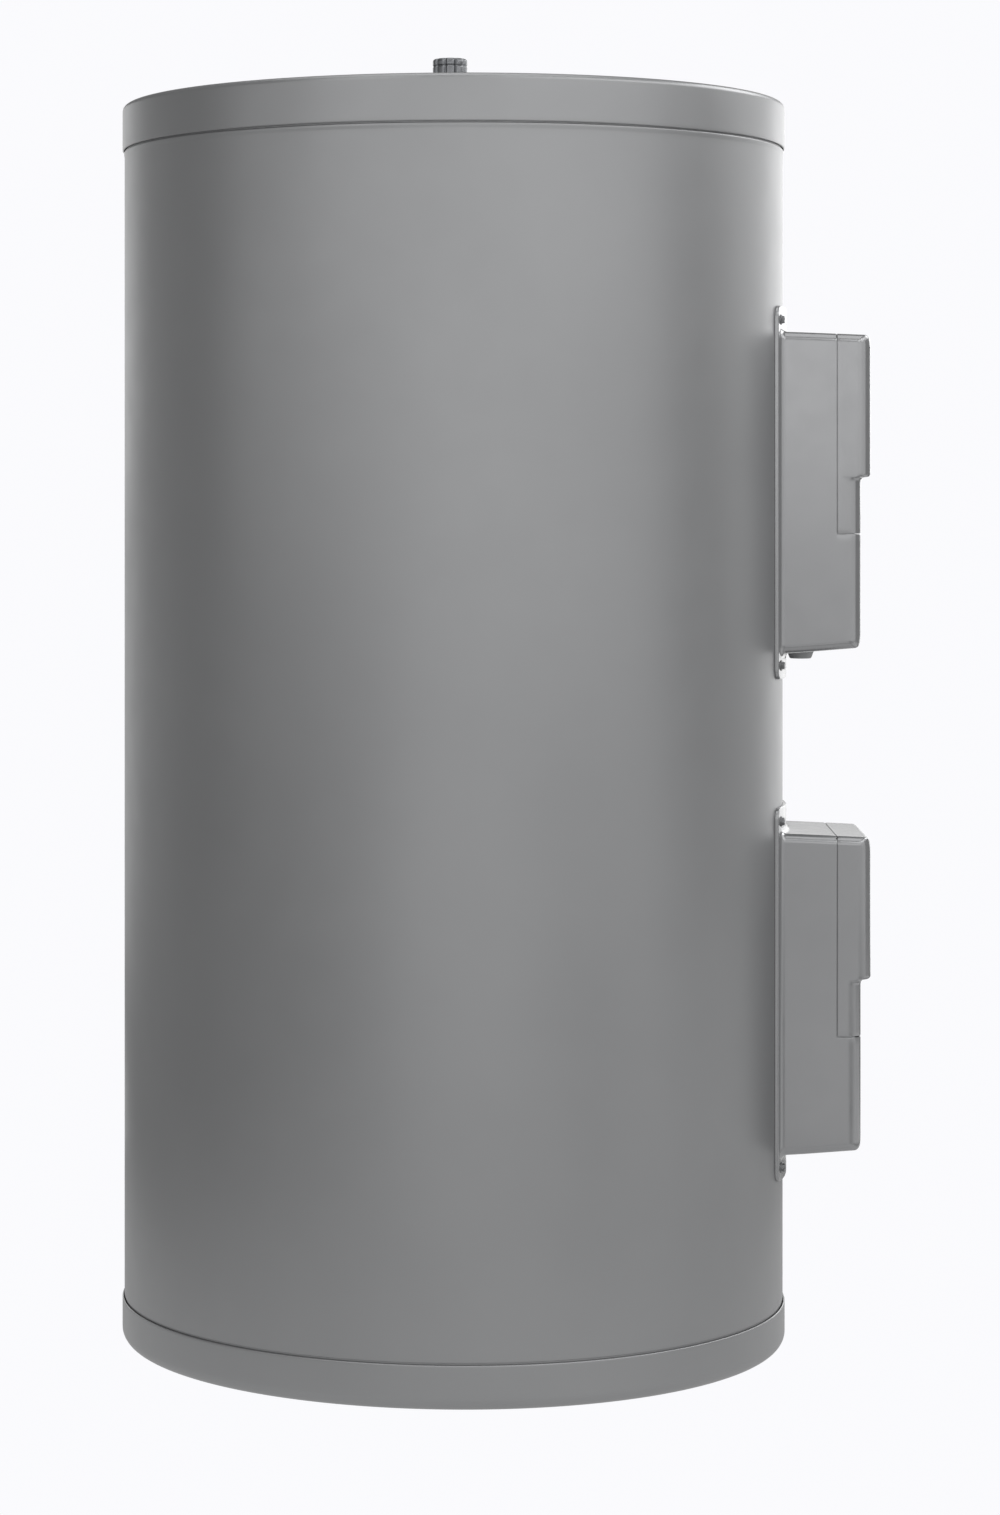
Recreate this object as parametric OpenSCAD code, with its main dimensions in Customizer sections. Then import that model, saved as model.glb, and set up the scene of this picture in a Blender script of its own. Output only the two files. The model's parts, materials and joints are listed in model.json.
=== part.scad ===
// Tank water heater: a short 50 gallon electric storage heater.
// Origin at the centre of the floor face, +Z up the tank axis, the two electrical boxes on +X.

/* [Jacket] */
// Outer radius of the jacket
jacket_r = 305; // [303:0.5:306]
// Jacket sheet thickness
jacket_t = 1; // [0.8:0.1:1.2]
// Overall height, floor to top pan
height = 1140; // [1135:1:1145]
// Pan sheet thickness
pan_t = 1.6; // [1.2:0.1:1.6]
// Height of the bottom pan's skirt
bottom_pan_h = 39.6; // [36:0.2:44]
// Depth of the top pan's skirt
top_pan_h = 41.2; // [36:0.2:44]
// Radius of the top pan's rim
top_rim_r = 5; // [3:0.5:7]
// Radius of the bottom pan's corner
bottom_rim_r = 11; // [8:0.5:13]

/* [Tank] */
// Outer radius of the steel tank
tank_r = 254; // [253:0.5:254]
// Tank wall thickness
tank_t = 3; // [2.5:0.1:3]
// Height where the shell meets the top head
shell_top = 1005; // [1000:1:1008]
// Height where the shell meets the bottom head
water_low = 75; // [72:1:76]
// Rise of the top head
top_rise = 66; // [60:1:68]
// Rise of the bottom head
bottom_rise = 50; // [45:1:55]

/* [Water connections] */
// Distance between the hot and cold connections
port_spacing = 203.2; // [200:0.4:206]
// Height of the connections above the top pan
port_rise = 34.3; // [30:0.1:36]
// Width across the flats of the twelve-sided wrench end
wrench_af = 31.2; // [30:0.1:32]
// Height of the wrench end
wrench_h = 25; // [20:1:26]
// Radius of the solder socket for 3/4 in copper tube
socket_r = 11.2; // [11.15:0.05:11.3]
// Depth of the solder socket
socket_h = 20; // [16:1:22]
// Outer radius of 3/4 in pipe
pipe_r = 13.25; // [13:0.05:13.3]
// Bore radius of 3/4 in pipe
pipe_bore_r = 10.4; // [10:0.1:10.5]
// Distance from the axis back to the anode
anode_back = 130; // [120:1:140]

// Turn of the jacket's lap seam from the boxes' side
seam_turn = 150; // [140:1:160]

/* [Electrical boxes] */
// Width of a box
box_w = 155; // [150:1:156]
// Height of a box where it meets the jacket
box_h = 292; // [286:1:294]
// Distance from the tank axis to a box's raised front
box_front_x = 381; // [378:1:384]
// Distance from the tank axis to a box's lower front
box_low_x = 372; // [370:1:374]
// Distance from the tank axis to the seam of base and cover
seam_x = 349.5; // [346:0.5:352]
// From a box's top down to the step in its front
step_drop = 132; // [128:1:136]
// From a box's top down to the cover's lower edge
cover_drop = 184; // [180:1:186]
// Height of the upper box's centre
upper_z = 782.5; // [780:0.5:785]
// Height of the lower box's centre
lower_z = 327; // [325:0.5:330]
// Wall thickness of the moulded boxes
box_t = 3; // [2.6:0.1:3.2]
// Radius of a box's long edges
box_edge_r = 8; // [5:0.5:9]
// Radius of a box's upright front corners
box_corner_r = 13; // [10:0.5:14]
// Flange width beyond the box, above and below
flange_over = 23.5; // [21:0.5:26]
// Flange thickness
flange_t = 3; // [2.5:0.1:3]

/* [Valves] */
// Height of the relief valve
relief_z = 955; // [950:1:958]
// Lift of the relief valve's disc
relief_lift = 4; // [3:0.5:4]
// Height of the drain valve
drain_z = 112; // [110:1:114]
// Angle of the drain valve round the tank, from the relief valve
drain_turn = -30; // [-40:5:-20]
// Radius of the drain valve's handwheel
wheel_r = 24; // [20:1:26]

/* [Hidden] */
$fn = 96;

gap = 0.3;                            // between curved faces of neighbouring pieces
fit = 0.06;                           // radial clearance of a running fit
box_centres = [upper_z, lower_z];
port_y = port_spacing / 2;
port_top = height + port_rise;
foam_r = jacket_r - jacket_t - gap;   // outer radius of the foam
pan_in_r = jacket_r + gap;
pan_r = pan_in_r + pan_t;
flange_in_r = jacket_r + gap;
flange_r = flange_in_r + flange_t;
flange_w = box_w + 12;
flange_corner = 10;
top_slope = 0.042;                    // fall of a box's top face, per mm of depth
low_slope = 0.082;                    // rise of a box's bottom face, per mm of depth
well_w = 112;                         // width of the access holes in jacket and foam
well_h = 244;                         // height of the access holes
dam_t = 3.5;
spud_r = 19;
spud_in = 249;                        // radius where the side spuds start, inside the tank
spud_out = 266;
spud_bore = pipe_r + gap;
top_spud_low = 1056;
top_spud_high = 1092;
element_drop = 85;                    // from a box's centre down to its element
element_bore = 16;
screw_r = 1.72;
cover_screw_y = 50;
cover_screw_rise = 10;                // cover screws above the cover's lower edge
flange_screw_y = 72;
flange_screw_in = 12.5;               // flange screws, in from the flange's ends
jacket_screw_r = 2.1;
conduit = [280, -35];                 // x and y of the wire conduit between the wells
wire_r = 1.7;
control_post_x = 279.1;               // where wires meet the controls' terminals
element_post_x = 286.1;               // and the elements' terminals
dish_top = cap_r(tank_r - tank_t - gap, top_rise);
dish_low = cap_r(tank_r - tank_t - gap, bottom_rise);
relief_pin = 400;                     // distance from the axis to the test lever's pin
cam_r = 8.7;
valve_in = 252;                       // distances from the tank's axis: valve's inner end,
valve_hex = 316;                      // its wrench flats and its barrel
valve_barrel = 326;
seat_r = 332;                         // relief valve: seat, outlet and shoulder under the bonnet
relief_outlet = 342;
relief_shoulder = 358.6;
drain_seat = 330;                     // drain valve: seat, outlet, shoulder and handwheel
drain_outlet = 341;
drain_shoulder = 356;
wheel_mid = 380;
wheel_top = 386;
bushing_x = 322;
knockout_r = 11.1;

// Radius of a dish with the given rim radius and rise
function cap_r(rim, rise) = (rim * rim + rise * rise) / (2 * rise);

// Outline with each corner turned by an arc; pts hold [x, y, corner radius]
function rounded(pts, steps = 6) = [for (i = [0:len(pts) - 1])
    let (n = len(pts), p = pts[i], a = pts[(i + n - 1) % n], b = pts[(i + 1) % n],
         ua = unit([a.x - p.x, a.y - p.y]), ub = unit([b.x - p.x, b.y - p.y]),
         half = acos(max(-1, min(1, ua * ub))) / 2)
    for (q = p[2] == 0 ? [[p.x, p.y]] : arc_points(p, ua, ub, half, steps)) q];
function unit(v) = v / norm(v);
function arc_points(p, ua, ub, half, steps) =
    let (r = p[2], c = [p.x, p.y] + unit(ua + ub) * r / sin(half),
         s = [p.x, p.y] + ua * r / tan(half), e = [p.x, p.y] + ub * r / tan(half),
         a0 = atan2(s.y - c.y, s.x - c.x), a1 = atan2(e.y - c.y, e.x - c.x),
         turn = a1 - a0 > 180 ? a1 - a0 - 360 : a1 - a0 < -180 ? a1 - a0 + 360 : a1 - a0)
    [for (k = [0:steps]) c + r * [cos(a0 + turn * k / steps), sin(a0 + turn * k / steps)]];

// Points along a smooth curve through a hand-set route
function smooth(pts, per = 4) = [for (i = [0:len(pts) - 2]) for (k = [0:per - 1])
    curve_point(pts, i, k / per), pts[len(pts) - 1]];
function curve_point(p, i, t) =
    let (a = p[max(i - 1, 0)], b = p[i], c = p[i + 1], d = p[min(i + 2, len(p) - 1)])
    0.5 * (2 * b + t * (c - a) + t * t * (2 * a - 5 * b + 4 * c - d)
           + t * t * t * (3 * b - a - 3 * c + d));

// Round bar swept along the points of a line, which never runs along ref
module sweep(line, r, ref = [0, 1, -0.3], sides = 8) {
    n = len(line);
    rings = [for (i = [0:n - 1])
        let (dir = unit(line[min(i + 1, n - 1)] - line[max(i - 1, 0)]),
             side = unit(cross(dir, ref)),
             up = cross(side, dir))
        for (k = [0:sides - 1])
            line[i] + r * (side * cos(360 * k / sides) + up * sin(360 * k / sides))];
    walls = [for (i = [0:n - 2]) for (k = [0:sides - 1])
        let (a = i * sides + k, b = i * sides + (k + 1) % sides)
        [a, b, b + sides, a + sides]];
    ends = [[for (k = [sides - 1:-1:0]) k], [for (k = [0:sides - 1]) (n - 1) * sides + k]];
    polyhedron(points = rings, faces = concat(walls, ends));
}

// Insulated wire along a hand-set route
module wire(route) {
    sweep(smooth(route), wire_r);
}

// Ring between two radii
module ring(outer, inner, z0, z1) {
    translate([0, 0, z0]) difference() {
        cylinder(r = outer, h = z1 - z0);
        translate([0, 0, -1]) cylinder(r = inner, h = z1 - z0 + 2);
    }
}

// Upright cylinder between two heights
module bar(r, z0, z1) {
    translate([0, 0, z0]) cylinder(r = r, h = z1 - z0);
}

// Hexagonal bar between two heights, by its width across the flats
module hex_bar(af, z0, z1) {
    translate([0, 0, z0]) cylinder(d = af / cos(30), h = z1 - z0, $fn = 6);
}

// Places children with their Z along +X, for what screws into the front
module facing_front(z, y = 0) {
    translate([0, y, z]) rotate([0, 90, 0]) children();
}

// Places children with their Z along +Y and their +Y pointing down, for the side valves
module facing_side(z) {
    translate([0, 0, z]) rotate([-90, 0, 0]) children();
}

module at_relief() {
    facing_side(relief_z) children();
}

module at_drain() {
    rotate([0, 0, drain_turn]) facing_side(drain_z) children();
}

module at_valves() {
    at_relief() children();
    at_drain() children();
}

// Block between two corners
module block(low, high) {
    translate(low) cube(high - low);
}

// ---------- shell ----------

module bottom_pan() {
    color("lightgray") rotate_extrude() polygon(
        rounded([[0, 0, 0], [pan_r, 0, bottom_rim_r], [pan_r, bottom_pan_h, 0],
                 [pan_in_r, bottom_pan_h, 0], [pan_in_r, pan_t, bottom_rim_r - pan_t],
                 [0, pan_t, 0]]));
}

module bottom_insulation() {
    color("khaki") bar(tank_r - tank_t - gap, pan_t, water_low - 32);
}

module top_pan() {
    skirt_low = height - top_pan_h;
    color("lightgray") difference() {
        rotate_extrude() polygon(
            rounded([[0, height, 0], [pan_r, height, top_rim_r], [pan_r, skirt_low, 0],
                     [pan_in_r, skirt_low, 0], [pan_in_r, height - pan_t, top_rim_r - pan_t],
                     [0, height - pan_t, 0]]));
        for (y = [-port_y, port_y]) translate([0, y, 0]) bar(20, height - 5, height + 5);
        translate([-anode_back, 0, 0]) bar(26, height - 5, height + 5);
    }
}

module jacket() {
    low = 14;
    high = height - 12;
    color("gainsboro") difference() {
        union() {
            ring(jacket_r, jacket_r - jacket_t, low, high);
            rotate([0, 0, seam_turn - 2]) translate([0, 0, bottom_pan_h + 2]) rotate_extrude(angle = 4)
                translate([jacket_r - 0.2, 0])
                    square([jacket_t + 0.2, height - top_pan_h - bottom_pan_h - 4]);
        }
        for (z = box_centres)
            block([250, -well_w / 2, z - well_h / 2], [320, well_w / 2, z + well_h / 2]);
        at_valves() bar(22, 280, 320);
        for (z = box_centres) flange_screw_places(z) bar(jacket_screw_r, -20, 20);
        seam_screw_places() bar(jacket_screw_r, -20, 20);
    }
}

// Places children at the four corners of a box's flange, normal to the jacket
module flange_screw_places(z) {
    rise = box_h / 2 + flange_over - flange_screw_in;
    turn = asin(flange_screw_y / flange_r);
    for (side = [-1, 1], up = [-1, 1])
        rotate([0, 0, side * turn]) translate([flange_r, 0, z + up * rise]) rotate([0, 90, 0]) children();
}

// Places children along the jacket's lap seam at the back
module seam_screw_places() {
    for (i = [0:7]) rotate([0, 0, seam_turn]) translate([jacket_r + jacket_t, 0, 90 + i * 138])
        rotate([0, 90, 0]) children();
}

module sheet_screw() {
    bar(jacket_screw_r - fit, -9, 0.1);
    difference() {
        union() {
            bar(4.6, 0, 1);
            hex_bar(6.35, 0.9, 3.4);
        }
        block([-2.6, -0.45, 2.6], [2.6, 0.45, 4]);
    }
}

module jacket_screws() {
    color("silver") {
        for (z = box_centres) flange_screw_places(z) sheet_screw();
        seam_screw_places() sheet_screw();
    }
}

// ---------- insulation ----------

module side_insulation() {
    color("khaki") difference() {
        ring(foam_r, tank_r + gap, bottom_pan_h + 5, shell_top);
        for (z = box_centres)
            block([240, -well_w / 2, z - well_h / 2], [320, well_w / 2, z + well_h / 2]);
        at_valves() bar(24, 240, 320);
        translate([conduit.x, conduit.y, 0]) bar(9 + gap, lower_z, upper_z);
    }
}

module top_insulation() {
    color("khaki") difference() {
        bar(foam_r, shell_top + gap, height - pan_t - 1);
        translate([0, 0, shell_top + top_rise - dish_top]) sphere(r = dish_top + gap);
        bar(tank_r + gap, shell_top - 5, shell_top + 4);
        for (y = [-port_y, port_y]) translate([0, y, 0]) bar(24, shell_top, height);
        translate([-anode_back, 0, 0]) bar(28, shell_top, height);
    }
}

module foam_dams() {
    color("whitesmoke") for (z = box_centres) intersection() {
        ring(foam_r - gap, tank_r + 2 * gap, z - well_h / 2, z + well_h / 2);
        difference() {
            block([240, -well_w / 2 + gap, z - well_h / 2 + gap],
                  [320, well_w / 2 - gap, z + well_h / 2 - gap]);
            block([230, -well_w / 2 + dam_t, z - well_h / 2 + dam_t],
                  [330, well_w / 2 - dam_t, z + well_h / 2 - dam_t]);
            translate([conduit.x, conduit.y, 0]) bar(9 + gap, lower_z, upper_z);
        }
    }
}

module wire_conduit() {
    color("dimgray") translate([conduit.x, conduit.y, 0])
        ring(9, 7.5, lower_z + well_h / 2 - dam_t - 4, upper_z - well_h / 2 + dam_t + 4);
}

// ---------- tank ----------

// Sheet dish: the top of a hollow sphere, down to its rim
module dish(rim_r, dish_r, crown_z, rise) {
    intersection() {
        translate([0, 0, crown_z - dish_r]) difference() {
            sphere(r = dish_r, $fn = 160);
            sphere(r = dish_r - tank_t, $fn = 160);
        }
        bar(rim_r, crown_z - rise, crown_z + 1);
    }
}

module tank_shell() {
    color("slategray") difference() {
        ring(tank_r, tank_r - tank_t, pan_t, shell_top);
        for (z = box_centres) facing_front(z - element_drop) bar(spud_r + gap, 240, 260);
        at_valves() bar(spud_r + gap, 240, 260);
    }
}

module tank_top_head() {
    rim = tank_r - tank_t - gap;
    color("slategray") difference() {
        union() {
            dish(rim, dish_top, shell_top + top_rise, top_rise);
            ring(rim, rim - tank_t, shell_top - 25, shell_top + 3);
        }
        for (y = [-port_y, port_y]) translate([0, y, 0]) bar(spud_r + gap, shell_top, height);
        translate([-anode_back, 0, 0]) bar(spud_r + gap, shell_top, height);
    }
}

module tank_bottom_head() {
    rim = tank_r - tank_t - gap;
    color("slategray") {
        dish(rim, dish_low, water_low + bottom_rise, bottom_rise);
        ring(rim, rim - tank_t, water_low - 30, water_low + 2);
    }
}

module tank_spuds() {
    color("slategray") {
        for (y = [-port_y, port_y]) translate([0, y, 0]) ring(spud_r, spud_bore, top_spud_low, top_spud_high);
        translate([-anode_back, 0, 0]) ring(spud_r, spud_bore, top_spud_low - 12, top_spud_high);
        for (z = box_centres) facing_front(z - element_drop)
            ring(spud_r, element_bore + 1, spud_in, spud_out - 4);
        at_valves() ring(spud_r, spud_bore, spud_in, spud_out);
    }
}

// ---------- water connections ----------

module nipple(y) {
    translate([0, y, 0]) difference() {
        union() {
            bar(pipe_r, top_spud_low + 6, port_top - wrench_h + 1);
            wrench_end();
        }
        bar(pipe_bore_r, 1000, port_top - socket_h + 1);
        bar(socket_r, port_top - socket_h, port_top + 1);
    }
}

// Twelve-sided end with chamfered corners
module wrench_end() {
    across = wrench_af / cos(15);
    rotate([0, 0, 16.4]) intersection() {
        translate([0, 0, port_top - wrench_h]) cylinder(d = across, h = wrench_h, $fn = 12);
        translate([0, 0, port_top - wrench_h]) union() {
            cylinder(r = across / 2, h = wrench_h - 3);
            translate([0, 0, wrench_h - 3]) cylinder(r1 = across / 2, r2 = across / 2 - 3, h = 3);
        }
    }
}

module hot_nipple() {
    color("gray") nipple(-port_y);
}

module cold_nipple() {
    color("gray") nipple(port_y);
}

module dip_tube() {
    color("ivory") translate([0, port_y, 0]) {
        ring(pipe_bore_r - gap, 8, 150, port_top - socket_h - 8);
        difference() {
            bar(pipe_bore_r - gap, 148, 152);
            block([-12, -2, 140], [12, 2, 160]);
            block([-2, -12, 140], [2, 12, 160]);
        }
    }
}

module nipple_collars() {
    color("silver") for (y = [-port_y, port_y]) translate([0, y, 0]) {
        ring(19.7, pipe_r + gap, height - 6, height + 0.5);
        ring(26, pipe_r + gap, height, height + 3);
    }
}

module anode_plug() {
    color("darkgray") translate([-anode_back, 0, 0]) difference() {
        union() {
            bar(pipe_r, top_spud_low + 6, top_spud_high);
            hex_bar(27, top_spud_high, top_spud_high + 13);
        }
        bar(1.8, 1000, top_spud_high - 8);
    }
}

module anode_rod() {
    color("lightslategray") translate([-anode_back, 0, 0]) {
        bar(10.7, 230, top_spud_low + 5);
        bar(1.7, 225, top_spud_high - 9);
    }
}

module anode_cap() {
    color("silver") translate([-anode_back, 0, 0]) {
        ring(25.7, 23.5, height - 8, height + 0.5);
        intersection() {
            bar(30, height, height + 5);
            translate([0, 0, height - 118]) sphere(r = 122, $fn = 120);
        }
    }
}

// ---------- heating elements ----------

module element(z) {
    leg = 9.5;
    reach = -52;
    facing_front(z - element_drop) {
        for (side = [-1, 1]) translate([side * leg, 0, 0]) bar(4, reach, spud_out);
        translate([0, 0, reach]) rotate([90, 0, 0]) rotate_extrude(angle = -180)
            translate([leg, 0]) circle(r = 4, $fn = 32);
        bar(element_bore, spud_in - 4, spud_out);
        ring(19, 6, spud_out - 1, spud_out + 2.5);
        hex_bar(38, spud_out, spud_out + 10);
    }
}

module upper_element() {
    color("silver") element(upper_z);
}

module lower_element() {
    color("silver") element(lower_z);
}

module element_gaskets() {
    color("darkred") for (z = box_centres)
        facing_front(z - element_drop) ring(18.8, element_bore + gap, spud_out - 4, spud_out - 1);
}

module element_terminal_blocks() {
    face = spud_out + 10;
    for (z = box_centres) facing_front(z - element_drop) {
        color("dimgray") bar(13, face, face + 7);
        color("silver") for (side = [-1, 1]) translate([0, side * 7, 0]) {
            block([-4.5, -3.6, face + 6.9], [4.5, 3.6, face + 8]);
            bar(2.8, face + 7.9, face + 10);
        }
    }
}

// ---------- controls ----------

// Phenolic control body with raised terminal ribs, z measured from the box's centre
module control_body(z, low, high, depth) {
    back = tank_r + 1;
    block([back, -27, z + low], [back + depth - 5, 27, z + high]);
    block([back + depth - 6, -23, z + low + 4], [back + depth, 23, z + high - 4]);
    for (side = [-1, 1], end = [low + 12, high - 12])
        block([back + depth - 1, side * 16 - 5, z + end - 5], [back + depth + 2, side * 16 + 5, z + end + 5]);
}

module thermostat(z) {
    color("dimgray") difference() {
        control_body(z, -50, 20, 22);
        facing_front(z - 15) bar(3 + fit, 268, 290);
    }
}

module upper_thermostat() {
    thermostat(upper_z);
}

module lower_thermostat() {
    thermostat(lower_z);
}

module high_limit() {
    color("dimgray") difference() {
        control_body(upper_z, 24, 84, 22);
        facing_front(upper_z + 54) bar(5.1, 266, 290);
    }
}

module reset_button() {
    color("red") facing_front(upper_z + 54) {
        bar(5, 269.5, 281);
        bar(3.5, 280.9, 282);
    }
}

// Temperature dial: slotted knob with a pointer, its shaft in the thermostat
module dial(z) {
    color("silver") facing_front(z - 15) difference() {
        union() {
            bar(3, 269, 278);
            bar(9, 277.3, 280.5);
            block([-9, -0.8, 280.4], [0, 0.8, 281.2]);
        }
        block([-5, -0.7, 279.6], [5, 0.7, 281.5]);
    }
}

module upper_dial() {
    dial(upper_z);
}

module lower_dial() {
    dial(lower_z);
}

// Spring strap round each element spud, holding the thermostat to the tank
module thermostat_brackets() {
    color("silver") for (z = box_centres, high = z == upper_z ? 84 : 20) {
        difference() {
            block([257.5, -30, z - 112], [259, 30, z - 52]);
            facing_front(z - element_drop) bar(spud_r + gap, 250, 262);
        }
        for (side = [-1, 1]) {
            block([257.5, side * 29.2 - 0.8, z - 112], [268, side * 29.2 + 0.8, z + high]);
            block([267, side * 29.2 - 0.8, z - 20], [273.4, side * 29.2 + 0.8, z - 8]);
            block([272.2, side * 26.8 - 3.2, z - 20], [273.4, side * 26.8 + 3.2, z - 8]);
        }
    }
}

module terminal_bracket() {
    low = upper_z + 86;
    high = upper_z + 118;
    color("silver") difference() {
        union() {
            block([310, -69, low], [312, 69, high]);
            for (side = [-1, 1]) block([298, side * 65 - 4, low], [312, side * 65 + 4, high]);
        }
        bar(flange_r + 0.1, low - 1, high + 1);
    }
}

module terminal_block() {
    low = upper_z + 92;
    color("dimgray") {
        block([312, -38, low], [324, 38, low + 22]);
        for (y = [-38, -14.5, 8.5, 32]) block([323, y, low], [334, y + 6, low + 22]);
    }
}

module terminal_screws() {
    low = upper_z + 92;
    color("goldenrod") for (y = [-23.2, 0, 23.2]) {
        block([324, y - 7.5, low + 1], [325.5, y + 7.5, low + 21]);
        for (z = [low + 6, low + 16]) facing_front(z, y) difference() {
            bar(3.6, 325.4, 328);
            block([-3.8, -0.4, 327.2], [3.8, 0.4, 329]);
        }
    }
}

module ground_screw() {
    color("green") facing_front(upper_z + 102, 53) difference() {
        hex_bar(9, 312, 316);
        block([-6, -0.6, 315], [6, 0.6, 317]);
    }
}

// ---------- internal wires ----------

// Routes are [x, y, z], z from the named box's centre
function at_box(z, pts) = [for (p = pts) p + [0, 0, z]];

// Straight start or end of a wire on a terminal, out along X
function from_post(x, y, z) = [for (step = [0, 2.5, 5]) [x + step, y, z]];
function to_post(x, y, z) = [for (step = [5, 2.5, 0]) [x + step, y, z]];

module black_wires() {
    color("black") {
        wire(at_box(upper_z, concat(
            [[327.4, -23, 94.3], [328, -23, 86], [322, -21, 77], [300, -17, 72]],
            to_post(control_post_x, -16, 72))));
        wire(at_box(upper_z, concat(
            from_post(control_post_x, -16, 36), [[290, -17, 33], [292, -17, 22], [290, -17, 11]],
            to_post(control_post_x, -16, 8))));
        wire(concat(
            at_box(upper_z, concat(
                from_post(control_post_x, -16, -38),
                [[289, -20, -42], [292, -28, -52], [288, -34, -70], [282.5, -35, -95],
                 [282.5, -35, -125]])),
            at_box(lower_z, concat(
                [[282.5, -35, 125], [282.5, -35, 100], [288, -34, 70], [292, -26, 40],
                 [289, -19, 18]],
                to_post(control_post_x, -16, 8)))));
    }
}

module red_wires() {
    to_element = [[297, 40, -20], [298, 36, -55], [297, 22, -80], [294, 10, -84.5]];
    color("firebrick") {
        wire(at_box(upper_z, concat(
            [[327.4, 23, 94.3], [328, 23, 86], [322, 21, 77], [300, 17, 72]],
            to_post(control_post_x, 16, 72))));
        wire(at_box(upper_z, concat(
            from_post(control_post_x, 16, 36), [[292, 22, 30], [297, 36, 10]], to_element,
            to_post(element_post_x, 7, -85))));
        wire(concat(
            at_box(upper_z, concat(
                from_post(control_post_x, 16, 8),
                [[292, 10, 2], [299, -12, -18], [299, -38, -40], [290, -42, -70],
                 [277.5, -35, -98], [277.5, -35, -125]])),
            at_box(lower_z, concat(
                [[277.5, -35, 125], [277.5, -34, 112], [284, -22, 96], [296, 6, 76],
                 [298, 38, 35]],
                to_element, to_post(element_post_x, 7, -85)))));
    }
}

module blue_wires() {
    color("royalblue") for (z = box_centres)
        wire(at_box(z, concat(
            from_post(control_post_x, 16, -38),
            [[290, 14, -44], [295, 0, -56], [297, -10, -70], [295, -9, -82]],
            to_post(element_post_x, -7, -85))));
}

// ---------- electrical boxes ----------

// Soft-edged prism to the given front, drawn in by inset; z from the box's centre
module box_part(front, low, high, inset) {
    r = max(6 - inset, 2);
    edge_r = max(box_edge_r - inset, 2);
    corner_r = box_corner_r - inset;
    back = 280;
    y = box_w / 2 - inset;
    fall = low == -box_h / 2 ? low_slope : 0;
    intersection() {
        rotate([90, 0, 0]) translate([0, 0, -100]) linear_extrude(200) polygon(rounded([
            [back, low + inset + fall * (back - flange_r), 0],
            [front - inset, low + inset + fall * (front - flange_r), r],
            [front - inset, high - inset - top_slope * (front - flange_r), r],
            [back, high - inset - top_slope * (back - flange_r), 0]]));
        translate([0, 0, -200]) linear_extrude(400) polygon(rounded([
            [back, -y, 0], [front - inset, -y, corner_r], [front - inset, y, corner_r],
            [back, y, 0]]));
        rotate([90, 0, 90]) translate([0, 0, back]) linear_extrude(120) polygon(rounded([
            [-y, low + inset, edge_r], [y, low + inset, edge_r],
            [y, high - inset + 1, edge_r], [-y, high - inset + 1, edge_r]]));
    }
}

// Whole box drawn in by inset: the low front all over, the raised front above the step
module box_solid(inset = 0) {
    box_part(box_low_x, -box_h / 2, box_h / 2, inset);
    box_part(box_front_x, box_h / 2 - step_drop, box_h / 2, inset);
}

// Space taken by the cover: in front of the seam and above the cover's lower edge
module cover_zone(clear = 0) {
    block([seam_x + clear, -100, box_h / 2 - cover_drop + clear], [400, 100, 200]);
}

module cover_screw_places() {
    for (y = [-cover_screw_y, cover_screw_y])
        facing_front(box_h / 2 - cover_drop + cover_screw_rise, y) children();
}

// Flange that follows the jacket round the box
module box_flange() {
    high = box_h / 2 + flange_over;
    intersection() {
        ring(flange_r, flange_in_r, -high, high);
        rotate([90, 0, 90]) translate([0, 0, 250]) linear_extrude(100) polygon(rounded([
            [-flange_w / 2, -high, flange_corner], [flange_w / 2, -high, flange_corner],
            [flange_w / 2, high, flange_corner], [-flange_w / 2, high, flange_corner]]));
    }
}

module box_base(z) {
    lip_z = box_h / 2 - cover_drop;
    translate([0, 0, z]) difference() {
        union() {
            box_flange();
            difference() {
                box_solid();
                box_solid(box_t);
                cover_zone();
            }
            difference() {
                intersection() {
                    box_solid(box_t - 0.1);
                    block([seam_x - 7, -100, lip_z - 8], [seam_x + 6, 100, 200]);
                }
                box_solid(box_t + 2);
            }
            block([360.6, -62, lip_z - 20], [365.4, 62, lip_z + 20]);
            block([360.6, -62, lip_z - 20], [box_low_x - 1, 62, lip_z - 14]);
        }
        bar(flange_in_r, -200, 200);
        block([290, -60, -box_h / 2 + 20], [flange_r + 6, 60, box_h / 2 - 20]);
        cover_screw_places() bar(screw_r + fit, 350, 370);
        translate([0, 0, -z]) flange_screw_places(z) bar(jacket_screw_r, -20, 20);
        if (z == upper_z) translate([bushing_x, 0, -box_h / 2 - 5]) cylinder(r = knockout_r, h = 20);
    }
}

module box_cover(z) {
    translate([0, 0, z]) difference() {
        union() {
            difference() {
                box_solid();
                box_solid(box_t - 0.6);
            }
            cover_screw_places() bar(8, 366, box_low_x - 1);
        }
        difference() {
            block([0, -150, -250], [450, 150, 250]);
            cover_zone(0.8);
        }
        cover_screw_places() bar(5, box_low_x - 2.6, box_low_x + 2);
        cover_screw_places() bar(2.3, 360, box_low_x);
    }
}

module cover_screws(z) {
    head = box_low_x - 2.6;
    translate([0, 0, z]) cover_screw_places() {
        bar(screw_r, 358.6, head + 0.1);
        difference() {
            bar(4.6, head, head + 2.2);
            block([-3, -0.5, head + 1.2], [3, 0.5, head + 3]);
            block([-0.5, -3, head + 1.2], [0.5, 3, head + 3]);
        }
    }
}

module upper_box_base() {
    color("lightgray") box_base(upper_z);
}

module upper_box_cover() {
    color("lightgray") box_cover(upper_z);
}

module upper_cover_screws() {
    color("silver") cover_screws(upper_z);
}

module lower_box_base() {
    color("lightgray") box_base(lower_z);
}

module lower_box_cover() {
    color("lightgray") box_cover(lower_z);
}

module lower_cover_screws() {
    color("silver") cover_screws(lower_z);
}

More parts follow.
